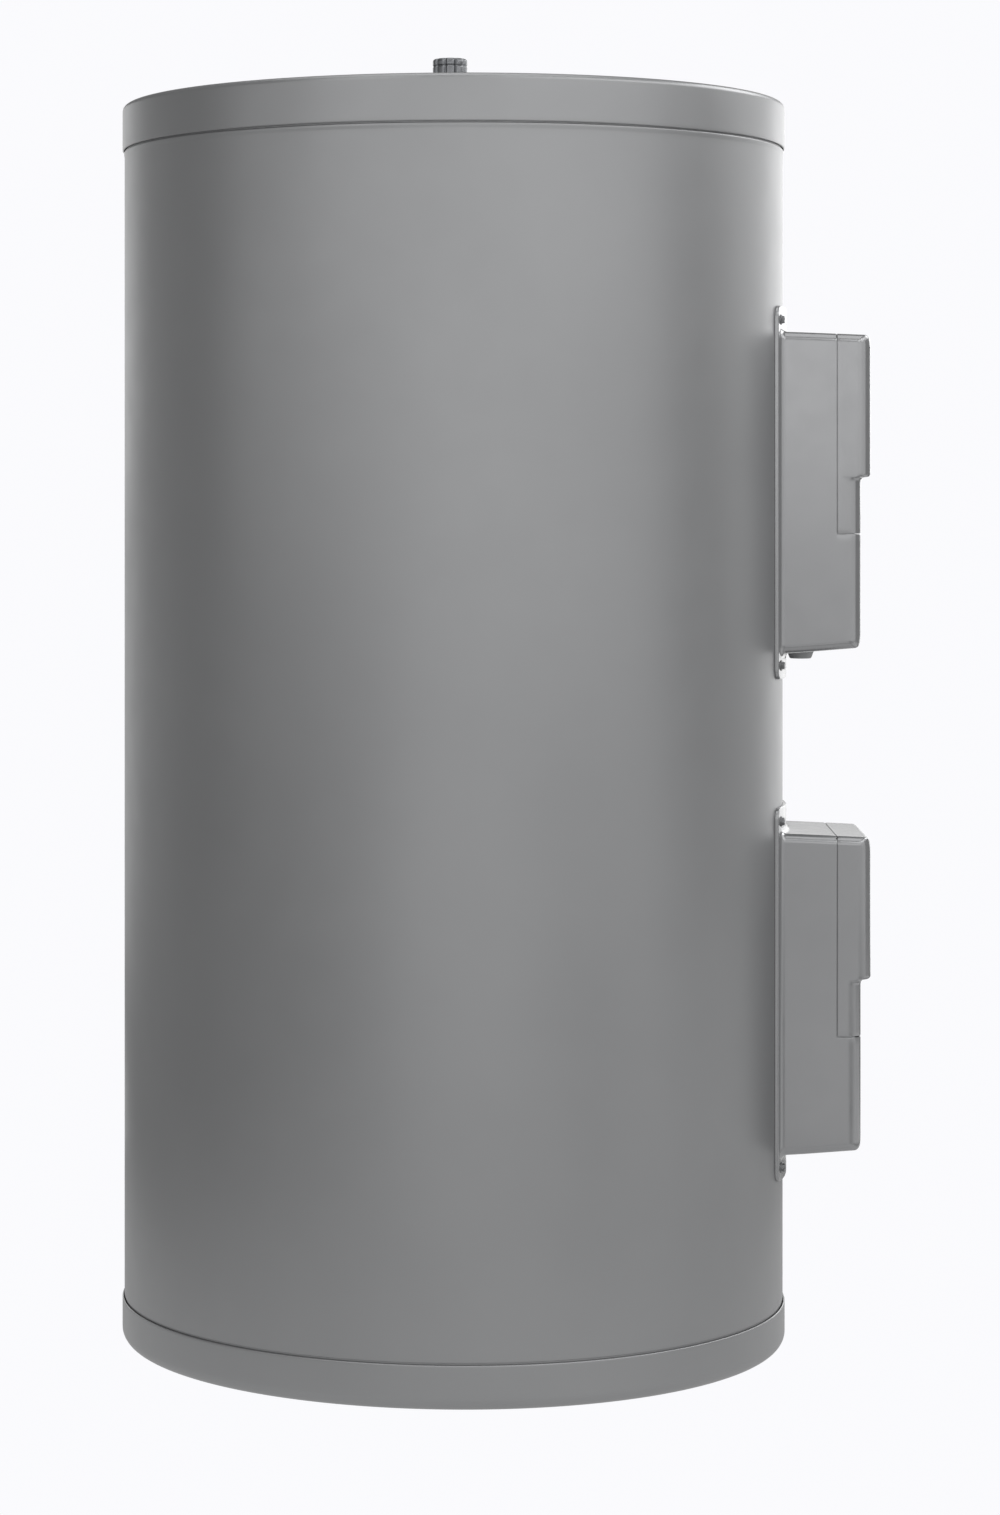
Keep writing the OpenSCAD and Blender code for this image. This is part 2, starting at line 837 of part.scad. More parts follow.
module supply_bushing() {
    wall_z = upper_z - box_h / 2 + (bushing_x - flange_r) * low_slope;
    color("dimgray") difference() {
        union() {
            bushing_flange(wall_z);
            translate([bushing_x, 0, 0]) bar(knockout_r - 0.1, wall_z - 3, wall_z + 7);
        }
        translate([bushing_x, 0, 0]) {
            bar(8, wall_z - 20, wall_z - 1.1);
            bar(8.8, wall_z - 1.2, wall_z + 20);
        }
    }
}

// Flange of the bushing, cut to the slope of the box's bottom
module bushing_flange(wall_z) {
    difference() {
        translate([bushing_x, 0, 0]) {
            bar(12.5, wall_z - 4, wall_z + 3);
            translate([0, 0, wall_z - 8.5]) cylinder(r1 = 10.2, r2 = 12.5, h = 4.5);
        }
        translate([0, 0, upper_z]) box_solid();
    }
}

// ---------- side valves ----------

// Washer against the jacket, its neck in the jacket's hole
module grommet(z) {
    intersection() {
        ring(jacket_r + gap + 2.5, jacket_r + gap, z - 40, z + 40);
        facing_side(z) ring(29, pipe_r + gap, 280, 320);
    }
    facing_side(z) ring(21.7, pipe_r + gap, 297, 306);
}

module valve_grommets() {
    color("dimgray") {
        grommet(relief_z);
        rotate([0, 0, drain_turn]) grommet(drain_z);
    }
}

// Round bar pointing down from a valve's axis, at a distance along it
module outlet_bar(out, r, z0, z1) {
    translate([0, 0, out]) rotate([-90, 0, 0]) bar(r, z0, z1);
}

module relief_body() {
    color("peru") at_relief() difference() {
        union() {
            bar(pipe_r, valve_in, valve_hex + 1);
            hex_bar(34, valve_hex, valve_barrel);
            bar(20, valve_barrel, relief_shoulder);
            outlet_bar(relief_outlet, 16.5, 0, 46);
            outlet_bar(relief_outlet, 18, 30, 46);
        }
        bar(8, 240, 340);
        bar(14, seat_r, 346.1);
        bar(15, 346, 360);
        outlet_bar(relief_outlet, 10, 0, 30);
        outlet_bar(relief_outlet, 12.1, 20, 50);
    }
}

module relief_bonnet() {
    color("peru") at_relief() difference() {
        union() {
            bar(14.9, 346.2, relief_shoulder + 1);
            hex_bar(32, relief_shoulder, relief_shoulder + 6);
            bar(14, relief_shoulder + 5, 395);
        }
        bar(11, 340, 392);
        bar(3 + fit, 390, 400);
    }
}

module relief_spring() {
    turns = 6;
    per_turn = 20;
    low = 346.8;
    high = 390.7;
    color("silver") at_relief() sweep(
        [for (i = [0:turns * per_turn]) let (t = i / (turns * per_turn), a = 360 * turns * t)
            [7.8 * cos(a), 7.8 * sin(a), low + (high - low) * t]], 1.3, [0, 0, 1]);
}

module relief_stem() {
    color("silver") at_relief() difference() {
        union() {
            bar(3, seat_r + 4, 404);
            bar(9.5, 338.5, 341);
        }
        translate([-10, 0, relief_pin]) rotate([0, 90, 0]) cylinder(r = 1.5, h = 20);
    }
}

module relief_disc() {
    color("dimgray") at_relief() {
        bar(11, seat_r, seat_r + 4);
        ring(11, 3 + gap, seat_r + 3, seat_r + 6);
    }
}

module relief_probe() {
    color("chocolate") at_relief() {
        bar(4.8, 150, seat_r - 1);
        for (turn = [0, 90]) rotate([0, 0, turn]) intersection() {
            bar(7.9, 262, 266);
            block([-9, -1.2, 260], [9, 1.2, 268]);
        }
    }
}

// Cam cheeks on the stem's pin, joined by the handle
module relief_lever() {
    handle = 46;
    color("silver") at_relief() difference() {
        union() {
            for (side = [-1, 1]) translate([side * 4.4 - 1, 0, 0]) {
                translate([0, 0, relief_pin + relief_lift - 0.1]) rotate([0, 90, 0])
                    cylinder(r = cam_r, h = 2);
                block([0, -handle, relief_pin + 5], [2, 0, relief_pin + 9]);
            }
            block([-8, -handle - 8, relief_pin + 8], [8, -11, relief_pin + 10]);
        }
        translate([-10, 0, relief_pin]) rotate([0, 90, 0]) cylinder(r = 1.5 + fit, h = 20);
        translate([0, -handle, 0]) bar(3.2, relief_pin, relief_pin + 20);
    }
}

module relief_lever_pin() {
    color("silver") at_relief() translate([-6.8, 0, relief_pin]) rotate([0, 90, 0]) {
        cylinder(r = 1.5, h = 13.6);
        cylinder(r = 2.6, h = 1.2);
        translate([0, 0, 12.4]) cylinder(r = 2.6, h = 1.2);
    }
}

module drain_body() {
    color("peru") at_drain() difference() {
        union() {
            bar(pipe_r, valve_in, valve_hex + 1);
            hex_bar(30, valve_hex, valve_barrel);
            bar(15, valve_barrel, drain_shoulder);
            outlet_bar(drain_outlet, 12, 0, 30);
            outlet_bar(drain_outlet, 13.4, 28, 44);
        }
        bar(7.5, 240, 340);
        bar(11, drain_seat, 360);
        outlet_bar(drain_outlet, 9, 8, 58);
    }
}

module drain_bonnet() {
    color("peru") at_drain() difference() {
        union() {
            bar(10.9, 349, drain_shoulder + 1);
            hex_bar(27, drain_shoulder, drain_shoulder + 10);
        }
        bar(3.5 + fit, 340, 370);
    }
}

module drain_disc() {
    color("dimgray") at_drain() bar(9, drain_seat, drain_seat + 5);
}

module drain_stem() {
    color("peru") at_drain() bar(3.5, drain_seat + 5.05, wheel_top);
}

module drain_handwheel() {
    color("dimgray") at_drain() {
        translate([0, 0, wheel_mid]) rotate_extrude() translate([wheel_r, 0]) circle(r = 4);
        ring(8, 3.5, wheel_mid - 6, wheel_top - 0.1);
        for (turn = [0:90:270]) rotate([0, 0, turn])
            block([5, -2.5, wheel_mid - 2.5], [wheel_r - 1, 2.5, wheel_mid + 2.5]);
    }
}

module handwheel_screw() {
    color("silver") at_drain() difference() {
        bar(6, wheel_top, wheel_top + 3);
        block([-8, -0.7, wheel_top + 2], [8, 0.7, wheel_top + 4]);
    }
}

bottom_pan();
bottom_insulation();
jacket();
jacket_screws();
top_pan();
side_insulation();
top_insulation();
tank_shell();
tank_top_head();
tank_bottom_head();
tank_spuds();
hot_nipple();
cold_nipple();
dip_tube();
nipple_collars();
anode_plug();
anode_rod();
anode_cap();
foam_dams();
wire_conduit();
upper_element();
lower_element();
element_gaskets();
element_terminal_blocks();
upper_thermostat();
lower_thermostat();
thermostat_brackets();
high_limit();
reset_button();
upper_dial();
lower_dial();
terminal_bracket();
terminal_block();
terminal_screws();
ground_screw();
black_wires();
red_wires();
blue_wires();
upper_box_base();
upper_box_cover();
upper_cover_screws();
lower_box_base();
lower_box_cover();
lower_cover_screws();
supply_bushing();
valve_grommets();
relief_body();
relief_bonnet();
relief_spring();
relief_stem();
relief_disc();
relief_probe();
relief_lever();
relief_lever_pin();
drain_body();
drain_bonnet();
drain_disc();
drain_stem();
drain_handwheel();
handwheel_screw();
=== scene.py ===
"""Looks of the tank water heater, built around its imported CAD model. Lengths here are in millimetres."""

import json
import math

import bmesh
import bpy
from mathutils import Matrix, Vector


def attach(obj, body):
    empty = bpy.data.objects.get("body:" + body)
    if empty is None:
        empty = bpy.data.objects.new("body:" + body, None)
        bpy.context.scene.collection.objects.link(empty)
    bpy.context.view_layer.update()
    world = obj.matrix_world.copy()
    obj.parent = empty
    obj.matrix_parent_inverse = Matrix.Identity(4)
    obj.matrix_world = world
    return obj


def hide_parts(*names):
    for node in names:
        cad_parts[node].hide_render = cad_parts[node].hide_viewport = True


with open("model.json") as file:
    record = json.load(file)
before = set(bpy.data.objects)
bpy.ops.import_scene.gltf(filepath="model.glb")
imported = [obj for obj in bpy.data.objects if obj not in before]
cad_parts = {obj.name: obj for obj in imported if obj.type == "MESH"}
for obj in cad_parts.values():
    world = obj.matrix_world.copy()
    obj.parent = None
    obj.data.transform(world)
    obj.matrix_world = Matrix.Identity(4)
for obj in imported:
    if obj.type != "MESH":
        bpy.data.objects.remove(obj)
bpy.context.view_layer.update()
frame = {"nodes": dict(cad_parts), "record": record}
scene = bpy.context.scene
MM = 0.001

# ---------- sizes shared with the CAD part ----------

HEIGHT = 1140.0
JACKET_R = 305.0
JACKET_T = 1.0
PAN_T = 1.6
PAN_IN_R = 305.3
PAN_R = 306.9
TOP_SKIRT = 1098.8
BOTTOM_SKIRT = 39.6
UPPER_Z = 782.5
LOWER_Z = 327.0
BOXES = (("upper", UPPER_Z), ("lower", LOWER_Z))
PORT_Y = 101.6
PORT_TOP = 1174.3
ANODE_X = -130.0
FLANGE_IN_R = 305.3
FLANGE_R = 308.3
FLANGE_HALF_W = 83.5
FLANGE_HALF_H = 169.5
BOX_HALF_W = 77.5
BOX_HALF_H = 146.0
BOX_EDGE_R = 8.0
BOX_CORNER_R = 13.0
BOX_FRONT_R = 6.0
RAISED_X = 381.0
LOW_X = 372.0
SEAM_X = 349.5
SEAM_Z = -38.0
SEAM_GAP = 0.8
BASE_T = 3.0
COVER_T = 2.4
WELL_HALF_W = 56.0
WELL_HALF_H = 122.0
COVER_SCREW_Y = 50
COVER_SCREW_Z = -28
RELIEF_Z = 955.0
DRAIN_Z = 112.0
DRAIN_TURN = -30.0
PIPE_R = 13.25
WIRE_R = 1.7
WELD = 1e-6


# ---------- camera and stage ----------

def make_camera():
    data = bpy.data.cameras.new("camera")
    camera = bpy.data.objects.new("camera", data)
    scene.collection.objects.link(camera)
    camera.location = (0.083, -3.538, 0.778)
    camera.rotation_euler = (math.radians(90), 0, math.radians(3.25))
    data.sensor_width = 36
    data.lens = 90.27
    data.shift_x = 0.1147
    data.shift_y = -0.1716
    data.clip_end = 60
    scene.camera = camera


make_camera()
scene.view_settings.view_transform = "Standard"


def emitter(name, colour, strength):
    mat = bpy.data.materials.new(name)
    mat.use_nodes = True
    nodes, links = mat.node_tree.nodes, mat.node_tree.links
    nodes.clear()
    light = nodes.new("ShaderNodeEmission")
    light.inputs["Color"].default_value = (*colour, 1)
    light.inputs["Strength"].default_value = strength
    out = nodes.new("ShaderNodeOutputMaterial")
    links.new(light.outputs[0], out.inputs[0])
    return mat


def seen_only_by_camera(obj):
    for ray in ("diffuse", "glossy", "transmission", "volume_scatter", "shadow"):
        setattr(obj, "visible_" + ray, False)


def make_stage():
    """White room: a dome and a floor that show behind the heater without lighting it."""
    white = emitter("backdrop_white", (0.962, 0.962, 0.985), 1.0)
    mesh = bpy.data.meshes.new("dome")
    shape = bmesh.new()
    bmesh.ops.create_icosphere(shape, subdivisions=4, radius=14)
    shape.to_mesh(mesh)
    shape.free()
    dome = bpy.data.objects.new("dome", mesh)
    mesh.materials.append(white)
    floor_mesh = bpy.data.meshes.new("floor")
    corners = [(x, y, -0.0005) for x, y in ((-9, -9), (9, -9), (9, 9), (-9, 9))]
    floor_mesh.from_pydata(corners, [], [(0, 1, 2, 3)])
    floor_mesh.materials.append(white)
    floor = bpy.data.objects.new("floor", floor_mesh)
    for obj in (dome, floor):
        scene.collection.objects.link(obj)
        seen_only_by_camera(obj)


make_stage()


# Panels round the heater in three tiers: (distance, height, width, tall, aimed at height), then
# azimuth: power.
# Azimuth 0 is in front, where the camera stands, and 90 is on the boxes' side.
TIERS = {
    "low": ((3.0, 0.36, 1.6, 0.7, 0.36),
            {-150: 2.5, -120: 0.9, 0: 1.6, 30: 1.9, 60: 2.2, 120: 1.1, 150: 4.8}),
    "mid": ((3.0, 1.2, 1.6, 0.9, 1.2),
            {-150: 5.2, -120: 0.9, -60: 3.1, -30: 4.3, 0: 5.5, 30: 4.6, 60: 3.4, 120: 3.3, 150: 9.8,
             180: 4.7}),
    "top": ((2.7, 2.45, 1.45, 1.4, 0.8),
            {-30: 9.6, 0: 2.9, 30: 10.1, 60: 12.4, 90: 8.6, 120: 26.2}),
}
# Panels at floor level that light the heater from below, as a white floor would: x, y, side, power.
BOUNCE = {
    "floor": (0, 0, 1.6, 3.2),
    "floor_front": (0, -1.9, 1.8, 5.4),
    "floor_right": (1.9, 0, 1.8, 5.6),
    "floor_left": (-1.9, 0, 1.8, 0.5),
    "floor_back": (0, 1.9, 1.8, 11.0),
}
OVERHEAD = 18.0   # power of the panel above the heater
ROOM = 0.242      # brightness of the even light all round


def area_light(name, place, turn, width, tall, power):
    data = bpy.data.lights.new(name, "AREA")
    data.shape = "RECTANGLE"
    data.size = width
    data.size_y = tall
    data.energy = power
    light = bpy.data.objects.new(name, data)
    scene.collection.objects.link(light)
    light.location = place
    light.rotation_euler = turn
    light.visible_camera = False


def make_lights():
    world = bpy.data.worlds.new("world")
    scene.world = world
    world.use_nodes = True
    background = world.node_tree.nodes["Background"]
    background.inputs["Color"].default_value = (1, 1, 1, 1)
    background.inputs["Strength"].default_value = ROOM
    for tier, ((distance, height, width, tall, aim), powers) in TIERS.items():
        for azimuth, power in powers.items():
            a = math.radians(azimuth)
            place = Vector((math.sin(a) * distance, -math.cos(a) * distance, height))
            turn = (Vector((0, 0, aim)) - place).to_track_quat("-Z", "Y").to_euler()
            area_light(f"{tier}_{azimuth % 360}", place, turn, width, tall, power)
    for name, (x, y, side, power) in BOUNCE.items():
        area_light(name, (x, y, -0.01), (math.pi, 0, 0), side, side, power)
    area_light("overhead", (0, -0.4, 3), (0, 0, 0), 2.2, 2.2, OVERHEAD)


make_lights()


# ---------- shapes ----------

class Shape:
    """Vertices and faces of one piece, in millimetres."""

    def __init__(self):
        self.verts = []
        self.faces = []

    def add(self, part, place=None):
        verts, faces = part
        first = len(self.verts)
        self.verts += [place @ Vector(v) if place else Vector(v) for v in verts]
        self.faces += [[first + i for i in face] for face in faces]
        return self

    @property
    def part(self):
        return self.verts, self.faces

    def placed(self, place):
        return Shape().add(self.part, place)


def lathe(profile, sides=48, ring=False):
    """Surface turned about Z from (radius, height) points; a ring's profile closes on itself."""
    verts, rows = [], []
    for radius, z in profile:
        if radius < 1e-6:
            rows.append([len(verts)] * sides)
            verts.append((0, 0, z))
            continue
        rows.append(list(range(len(verts), len(verts) + sides)))
        for i in range(sides):
            a = 2 * math.pi * i / sides
            verts.append((radius * math.cos(a), radius * math.sin(a), z))
    faces = []
    for low, high in list(zip(rows, rows[1:])) + ([(rows[-1], rows[0])] if ring else []):
        for i in range(sides):
            j = (i + 1) % sides
            face = list(dict.fromkeys((low[i], low[j], high[j], high[i])))
            if len(face) > 2:
                faces.append(face)
    return verts, faces


def grid(rows, count, closed=True):
    """Quads between neighbouring rings of points, with rings stored one after another."""
    steps = range(count if closed else count - 1)
    return [[r * count + i, r * count + (i + 1) % count, (r + 1) * count + (i + 1) % count,
             (r + 1) * count + i] for r in range(rows - 1) for i in steps]


def turned(profile, sides=48):
    return lathe(profile, sides, ring=True)


def rounded(points, steps=6):
    """Outline of (x, y, corner radius) points with each corner turned by an arc."""
    out = []
    count = len(points)
    for i, (x, y, radius) in enumerate(points):
        here = Vector((x, y))
        before = (Vector(points[i - 1][:2]) - here).normalized()
        after = (Vector(points[(i + 1) % count][:2]) - here).normalized()
        half = math.acos(max(-1, min(1, before.dot(after)))) / 2
        centre = here + (before + after).normalized() * radius / math.sin(half)
        start = here + before * radius / math.tan(half) - centre
        end = here + after * radius / math.tan(half) - centre
        turn = start.angle_signed(end)
        a0 = math.atan2(start.y, start.x)
        for k in range(steps + 1):
            a = a0 - turn * k / steps
            out.append((centre.x + radius * math.cos(a), centre.y + radius * math.sin(a)))
    return out


def inset(outline, depth):
    """Outline drawn in by a depth; the outline runs anticlockwise."""
    if depth == 0:
        return list(outline)
    out = []
    count = len(outline)
    for i in range(count):
        p = Vector(outline[i])
        a = p - Vector(outline[i - 1])
        b = Vector(outline[(i + 1) % count]) - p
        na = Vector((-a.y, a.x)).normalized()
        nb = Vector((-b.y, b.x)).normalized()
        q = p + (na + nb) * depth / max(0.3, 1 + na.dot(nb))
        out.append((q.x, q.y))
    return out


def soft_levels(low, high, radius, steps=3):
    """Heights and insets that round the two ends of a prism."""
    turns = [k / steps * math.pi / 2 for k in range(steps + 1)]
    ends = [(radius * (1 - math.sin(t)), radius * (1 - math.cos(t))) for t in turns]
    return ([(low + z, d) for d, z in ends]
            + [(high - z, d) for d, z in reversed(ends)])


def stack(outline, levels, half=None):
    """Closed prism, its outline drawn in by each level's inset, or scaled where its half width is given."""
    verts, count = [], len(outline)
    for z, depth in levels:
        scale = 1 - depth / half if half else 1
        ring = outline if half else inset(outline, depth)
        verts += [(x * scale, y * scale, z) for x, y in ring]
    faces = grid(len(levels), count)
    faces.append(list(range(count))[::-1])
    faces.append([(len(levels) - 1) * count + i for i in range(count)])
    return verts, faces


def flats(sides, across, radius=0.6, turn=0.0, steps=3):
    """Regular outline by its width across the flats, with rounded corners."""
    r = across / 2 / math.cos(math.pi / sides)
    points = []
    for i in range(sides):
        a = math.radians(turn) + 2 * math.pi * i / sides
        points.append((r * math.cos(a), r * math.sin(a), radius))
    return rounded(points, steps)


def block(low, high, radius=0.5, steps=2):
    """Soft-edged block between two corners."""
    outline = rounded([(low[0], low[1], radius), (high[0], low[1], radius),
                       (high[0], high[1], radius), (low[0], high[1], radius)], steps)
    return stack(outline, soft_levels(low[2], high[2], radius * 0.9, steps))


def disc(radius, low, high, edge=0.4, sides=48):
    """Short round bar with softened ends."""
    profile = [(0, low)] + [(radius - d, z) for z, d in soft_levels(low, high, edge)] + [(0, high)]
    return lathe(profile, sides)


def washer(outer, inner, low, high, edge=0.3, sides=48):
    profile = [(outer - d, z) for z, d in soft_levels(low, high, edge)]
    profile += [(inner + d, z) for z, d in reversed(soft_levels(low, high, edge))]
    return turned(profile, sides)


def turned_grooves(radius, low, high, pitch, depth):
    """Profile of a thread-like run between two heights."""
    out, z = [], low
    while z + pitch <= high + 1e-6:
        out += [(radius - depth, z), (radius, z + pitch * 0.35), (radius, z + pitch * 0.65)]
        z += pitch
    return out + [(radius - depth, z)]


def tube(path, radius, sides):
    """Round bar along a path, its section carried without twist."""
    count = len(path)
    tangents = [(path[min(i + 1, count - 1)] - path[max(i - 1, 0)]).normalized() for i in range(count)]
    side = tangents[0].orthogonal().normalized()
    verts = []
    for i in range(count):
        side = (side - tangents[i] * side.dot(tangents[i])).normalized()
        up = tangents[i].cross(side)
        for k in range(sides):
            a = 2 * math.pi * k / sides
            verts.append(path[i] + side * radius * math.cos(a) + up * radius * math.sin(a))
    ends = [list(range(sides))[::-1], [(count - 1) * sides + k for k in range(sides)]]
    return verts, grid(count, sides) + ends


def thicken(outer, inner, faces):
    """Closed sheet from an open skin and its twin, joined round their open edges."""
    count = len(outer)
    once = {}
    for face in faces:
        for a, b in zip(face, face[1:] + face[:1]):
            if (b, a) in once:
                del once[(b, a)]
            else:
                once[(a, b)] = True
    walls = [[b, a, a + count, b + count] for a, b in once]
    inside = [[i + count for i in reversed(face)] for face in faces]
    return list(outer) + list(inner), faces + inside + walls


def front(z, y=0.0):
    """Places a shape with its Z along +X, for what screws into the front."""
    return Matrix.Translation((0, y, z)) @ Matrix.Rotation(math.radians(90), 4, "Y")


def side_valve(z, turn=0.0):
    """Places a shape with its Z out of the jacket and its +Y pointing down."""
    return (Matrix.Rotation(math.radians(turn), 4, "Z") @ Matrix.Translation((0, 0, z))
            @ Matrix.Rotation(math.radians(-90), 4, "X"))


def at(x, y, z):
    return Matrix.Translation((x, y, z))


def mesh_of(name, shape):
    """Welded mesh of a shape, in metres, with its faces turned outwards."""
    mesh = bpy.data.meshes.new(name)
    mesh.from_pydata([v * MM for v in shape.verts], [], shape.faces)
    work = bmesh.new()
    work.from_mesh(mesh)
    bmesh.ops.remove_doubles(work, verts=work.verts, dist=WELD)
    bmesh.ops.recalc_face_normals(work, faces=work.faces)
    work.to_mesh(mesh)
    work.free()
    return mesh


def object_of(name, shape):
    obj = bpy.data.objects.new(name, mesh_of(name, shape))
    scene.collection.objects.link(obj)
    return obj


def make_piece(name, shape, slot, body="root", nodes=(), sharp=34, look=None):
    """Object that rides on a body and stands for CAD nodes; its look is its slot's unless one is given."""
    obj = object_of(name, shape)
    obj.data.materials.append(LOOKS[look or slot])
    obj.data.shade_smooth()
    obj.data.set_sharp_from_angle(angle=math.radians(sharp))
    normals = obj.modifiers.new("normals", "WEIGHTED_NORMAL")
    normals.keep_sharp = True
    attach(obj, body)
    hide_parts(*nodes)


def carve(shape, cutters):
    """Shape with the cutters' space taken out of it."""
    body, tool = object_of("work", shape), object_of("work", cutters)
    cut = body.modifiers.new("cut", "BOOLEAN")
    cut.object = tool
    cut.solver = "EXACT"
    bpy.context.view_layer.update()
    evaluated = body.evaluated_get(bpy.context.evaluated_depsgraph_get())
    mesh = evaluated.to_mesh()
    out = Shape()
    out.verts = [v.co / MM for v in mesh.vertices]
    out.faces = [list(p.vertices) for p in mesh.polygons]
    evaluated.to_mesh_clear()
    for obj in (body, tool):
        data = obj.data
        bpy.data.objects.remove(obj)
        bpy.data.meshes.remove(data)
    return out


# ---------- materials ----------

NOISE_SPAN = (0.3, 0.7)   # the noise stays mostly between these


class Look:
    """Node-built material with helpers for colour, roughness and bump from noise."""

    def __init__(self, name, rough, metallic=0.0):
        self.mat = bpy.data.materials.new(name)
        self.mat.use_nodes = True
        self.tree = self.mat.node_tree
        self.shader = self.tree.nodes["Principled BSDF"]
        self.shader.inputs["Metallic"].default_value = metallic
        self.shader.inputs["Roughness"].default_value = rough
        self.space = self.tree.nodes.new("ShaderNodeTexCoord")
        self.normal = None

    def node(self, kind, **settings):
        made = self.tree.nodes.new("ShaderNode" + kind)
        for key, value in settings.items():
            if key in made.inputs:
                made.inputs[key].default_value = value
            else:
                setattr(made, key, value)
        return made

    def link(self, source, target):
        self.tree.links.new(source, target)

    def noise(self, scale, detail=2.0, stretch=(1, 1, 1)):
        place = self.node("Mapping")
        place.inputs["Scale"].default_value = stretch
        self.link(self.space.outputs["Object"], place.inputs["Vector"])
        made = self.node("TexNoise", Scale=scale, Detail=detail)
        self.link(place.outputs[0], made.inputs["Vector"])
        return made.outputs["Fac"]

    def colour(self, fac, low, high):
        ramp = self.node("ValToRGB")
        for end, place, colour in zip(ramp.color_ramp.elements, NOISE_SPAN, (low, high)):
            end.position = place
            end.color = (*colour, 1)
        self.link(fac, ramp.inputs[0])
        self.link(ramp.outputs[0], self.shader.inputs["Base Color"])

    def roughness(self, fac, low, high):
        span = self.node("MapRange")
        for socket, value in zip(("From Min", "From Max", "To Min", "To Max"), (*NOISE_SPAN, low, high)):
            span.inputs[socket].default_value = value
        self.link(fac, span.inputs["Value"])
        self.link(span.outputs[0], self.shader.inputs["Roughness"])

    def bump(self, fac, depth):
        made = self.node("Bump", Strength=1.0, Distance=depth * MM)
        self.link(fac, made.inputs["Height"])
        if self.normal:
            self.link(self.normal, made.inputs["Normal"])
        self.normal = made.outputs[0]
        self.link(self.normal, self.shader.inputs["Normal"])


def paint_look(name, low, high, rough, metallic):
    """Satin enamel on steel: fine mottle, slight orange peel."""
    look = Look(name, rough, metallic)
    look.colour(look.noise(9, 3), low, high)
    look.roughness(look.noise(30, 3), rough - 0.015, rough + 0.015)
    look.bump(look.noise(260, 2), 0.006)
    look.bump(look.noise(1500, 1), 0.002)
    return look.mat


def moulded_look(name, low, high, rough, grain=900, depth=0.01, metallic=0.0):
    """Moulded plastic with a fine grain and faint flow variation."""
    look = Look(name, rough, metallic)
    look.colour(look.noise(22, 3), low, high)
    look.roughness(look.noise(60, 3), rough - 0.03, rough + 0.03)
    look.bump(look.noise(grain, 2), depth)
    return look.mat


def metal_look(name, low, high, rough, grain=220, depth=0.01, stretch=(1, 1, 1), spread=0.06):
    """Bare or plated metal with tarnish in its colour and fine marks."""
    look = Look(name, rough, 1.0)
    look.colour(look.noise(35, 4), low, high)
    look.roughness(look.noise(80, 3), rough - spread, rough + spread)
    look.bump(look.noise(grain, 3, stretch), depth)
    return look.mat


def foam_look(name, low, high, depth=0.6):
    look = Look(name, 0.85)
    look.colour(look.noise(60, 5), low, high)
    look.bump(look.noise(180, 6), depth)
    look.bump(look.noise(1200, 2), depth / 4)
    return look.mat


# Each look by its kind: the two ends of its colour, then its roughness and what its grain needs.
LOOK_TABLE = {
    paint_look: {
        "jacket_paint": ((0.321, 0.324, 0.330), (0.333, 0.336, 0.342), 0.42, 0.75),
        "pan_paint": ((0.321, 0.324, 0.330), (0.333, 0.336, 0.342), 0.40, 0.75),
    },
    moulded_look: {
        "box_plastic": ((0.330, 0.333, 0.340), (0.340, 0.343, 0.350), 0.22, 1400, 0.002, 0.65),
        "dip_plastic": ((0.74, 0.72, 0.64), (0.80, 0.78, 0.70), 0.4),
        "trim_plastic": ((0.30, 0.305, 0.315), (0.36, 0.365, 0.375), 0.42),
        "dark_plastic": ((0.018, 0.018, 0.02), (0.028, 0.028, 0.031), 0.42),
        "bushing_plastic": ((0.30, 0.303, 0.31), (0.34, 0.343, 0.35), 0.4),
        "gasket_rubber": ((0.03, 0.012, 0.010), (0.05, 0.02, 0.016), 0.6),
        "phenolic": ((0.012, 0.011, 0.011), (0.026, 0.024, 0.023), 0.38, 500, 0.02),
        "button_red": ((0.42, 0.012, 0.012), (0.50, 0.02, 0.018), 0.3),
        "dial_plastic": ((0.62, 0.62, 0.60), (0.70, 0.70, 0.68), 0.35),
        "ground_green": ((0.02, 0.22, 0.06), (0.03, 0.29, 0.09), 0.3),
        "wire_black": ((0.010, 0.010, 0.011), (0.020, 0.020, 0.021), 0.3, 300, 0.01),
        "wire_red": ((0.42, 0.02, 0.015), (0.50, 0.03, 0.02), 0.3, 300, 0.01),
        "wire_blue": ((0.02, 0.07, 0.36), (0.03, 0.10, 0.45), 0.3, 300, 0.01),
    },
    metal_look: {
        "screw_zinc": ((0.55, 0.56, 0.58), (0.68, 0.69, 0.70), 0.25),
        "screw_painted": ((0.24, 0.243, 0.25), (0.30, 0.303, 0.31), 0.4),
        "tank_steel": ((0.07, 0.075, 0.08), (0.16, 0.16, 0.165), 0.5, 90, 0.08),
        "nipple_steel": ((0.19, 0.195, 0.205), (0.24, 0.245, 0.255), 0.36, 300, 0.008),
        "plug_steel": ((0.25, 0.25, 0.26), (0.36, 0.36, 0.37), 0.38),
        "anode_metal": ((0.50, 0.51, 0.52), (0.62, 0.62, 0.63), 0.55, 60, 0.1),
        "element_metal": ((0.55, 0.56, 0.57), (0.70, 0.70, 0.71), 0.28),
        "spring_steel": ((0.45, 0.46, 0.47), (0.62, 0.62, 0.62), 0.25, 500, 0.004, (1, 1, 8)),
        "terminal_brass": ((0.60, 0.42, 0.16), (0.76, 0.57, 0.27), 0.26),
        "valve_brass": ((0.52, 0.34, 0.13), (0.70, 0.50, 0.22), 0.30, 160, 0.04),
        "probe_copper": ((0.50, 0.20, 0.10), (0.68, 0.32, 0.18), 0.3),
    },
    foam_look: {
        "foam": ((0.62, 0.45, 0.19), (0.78, 0.62, 0.30)),
        "dam_foam": ((0.75, 0.75, 0.73), (0.86, 0.86, 0.84), 0.3),
    },
}
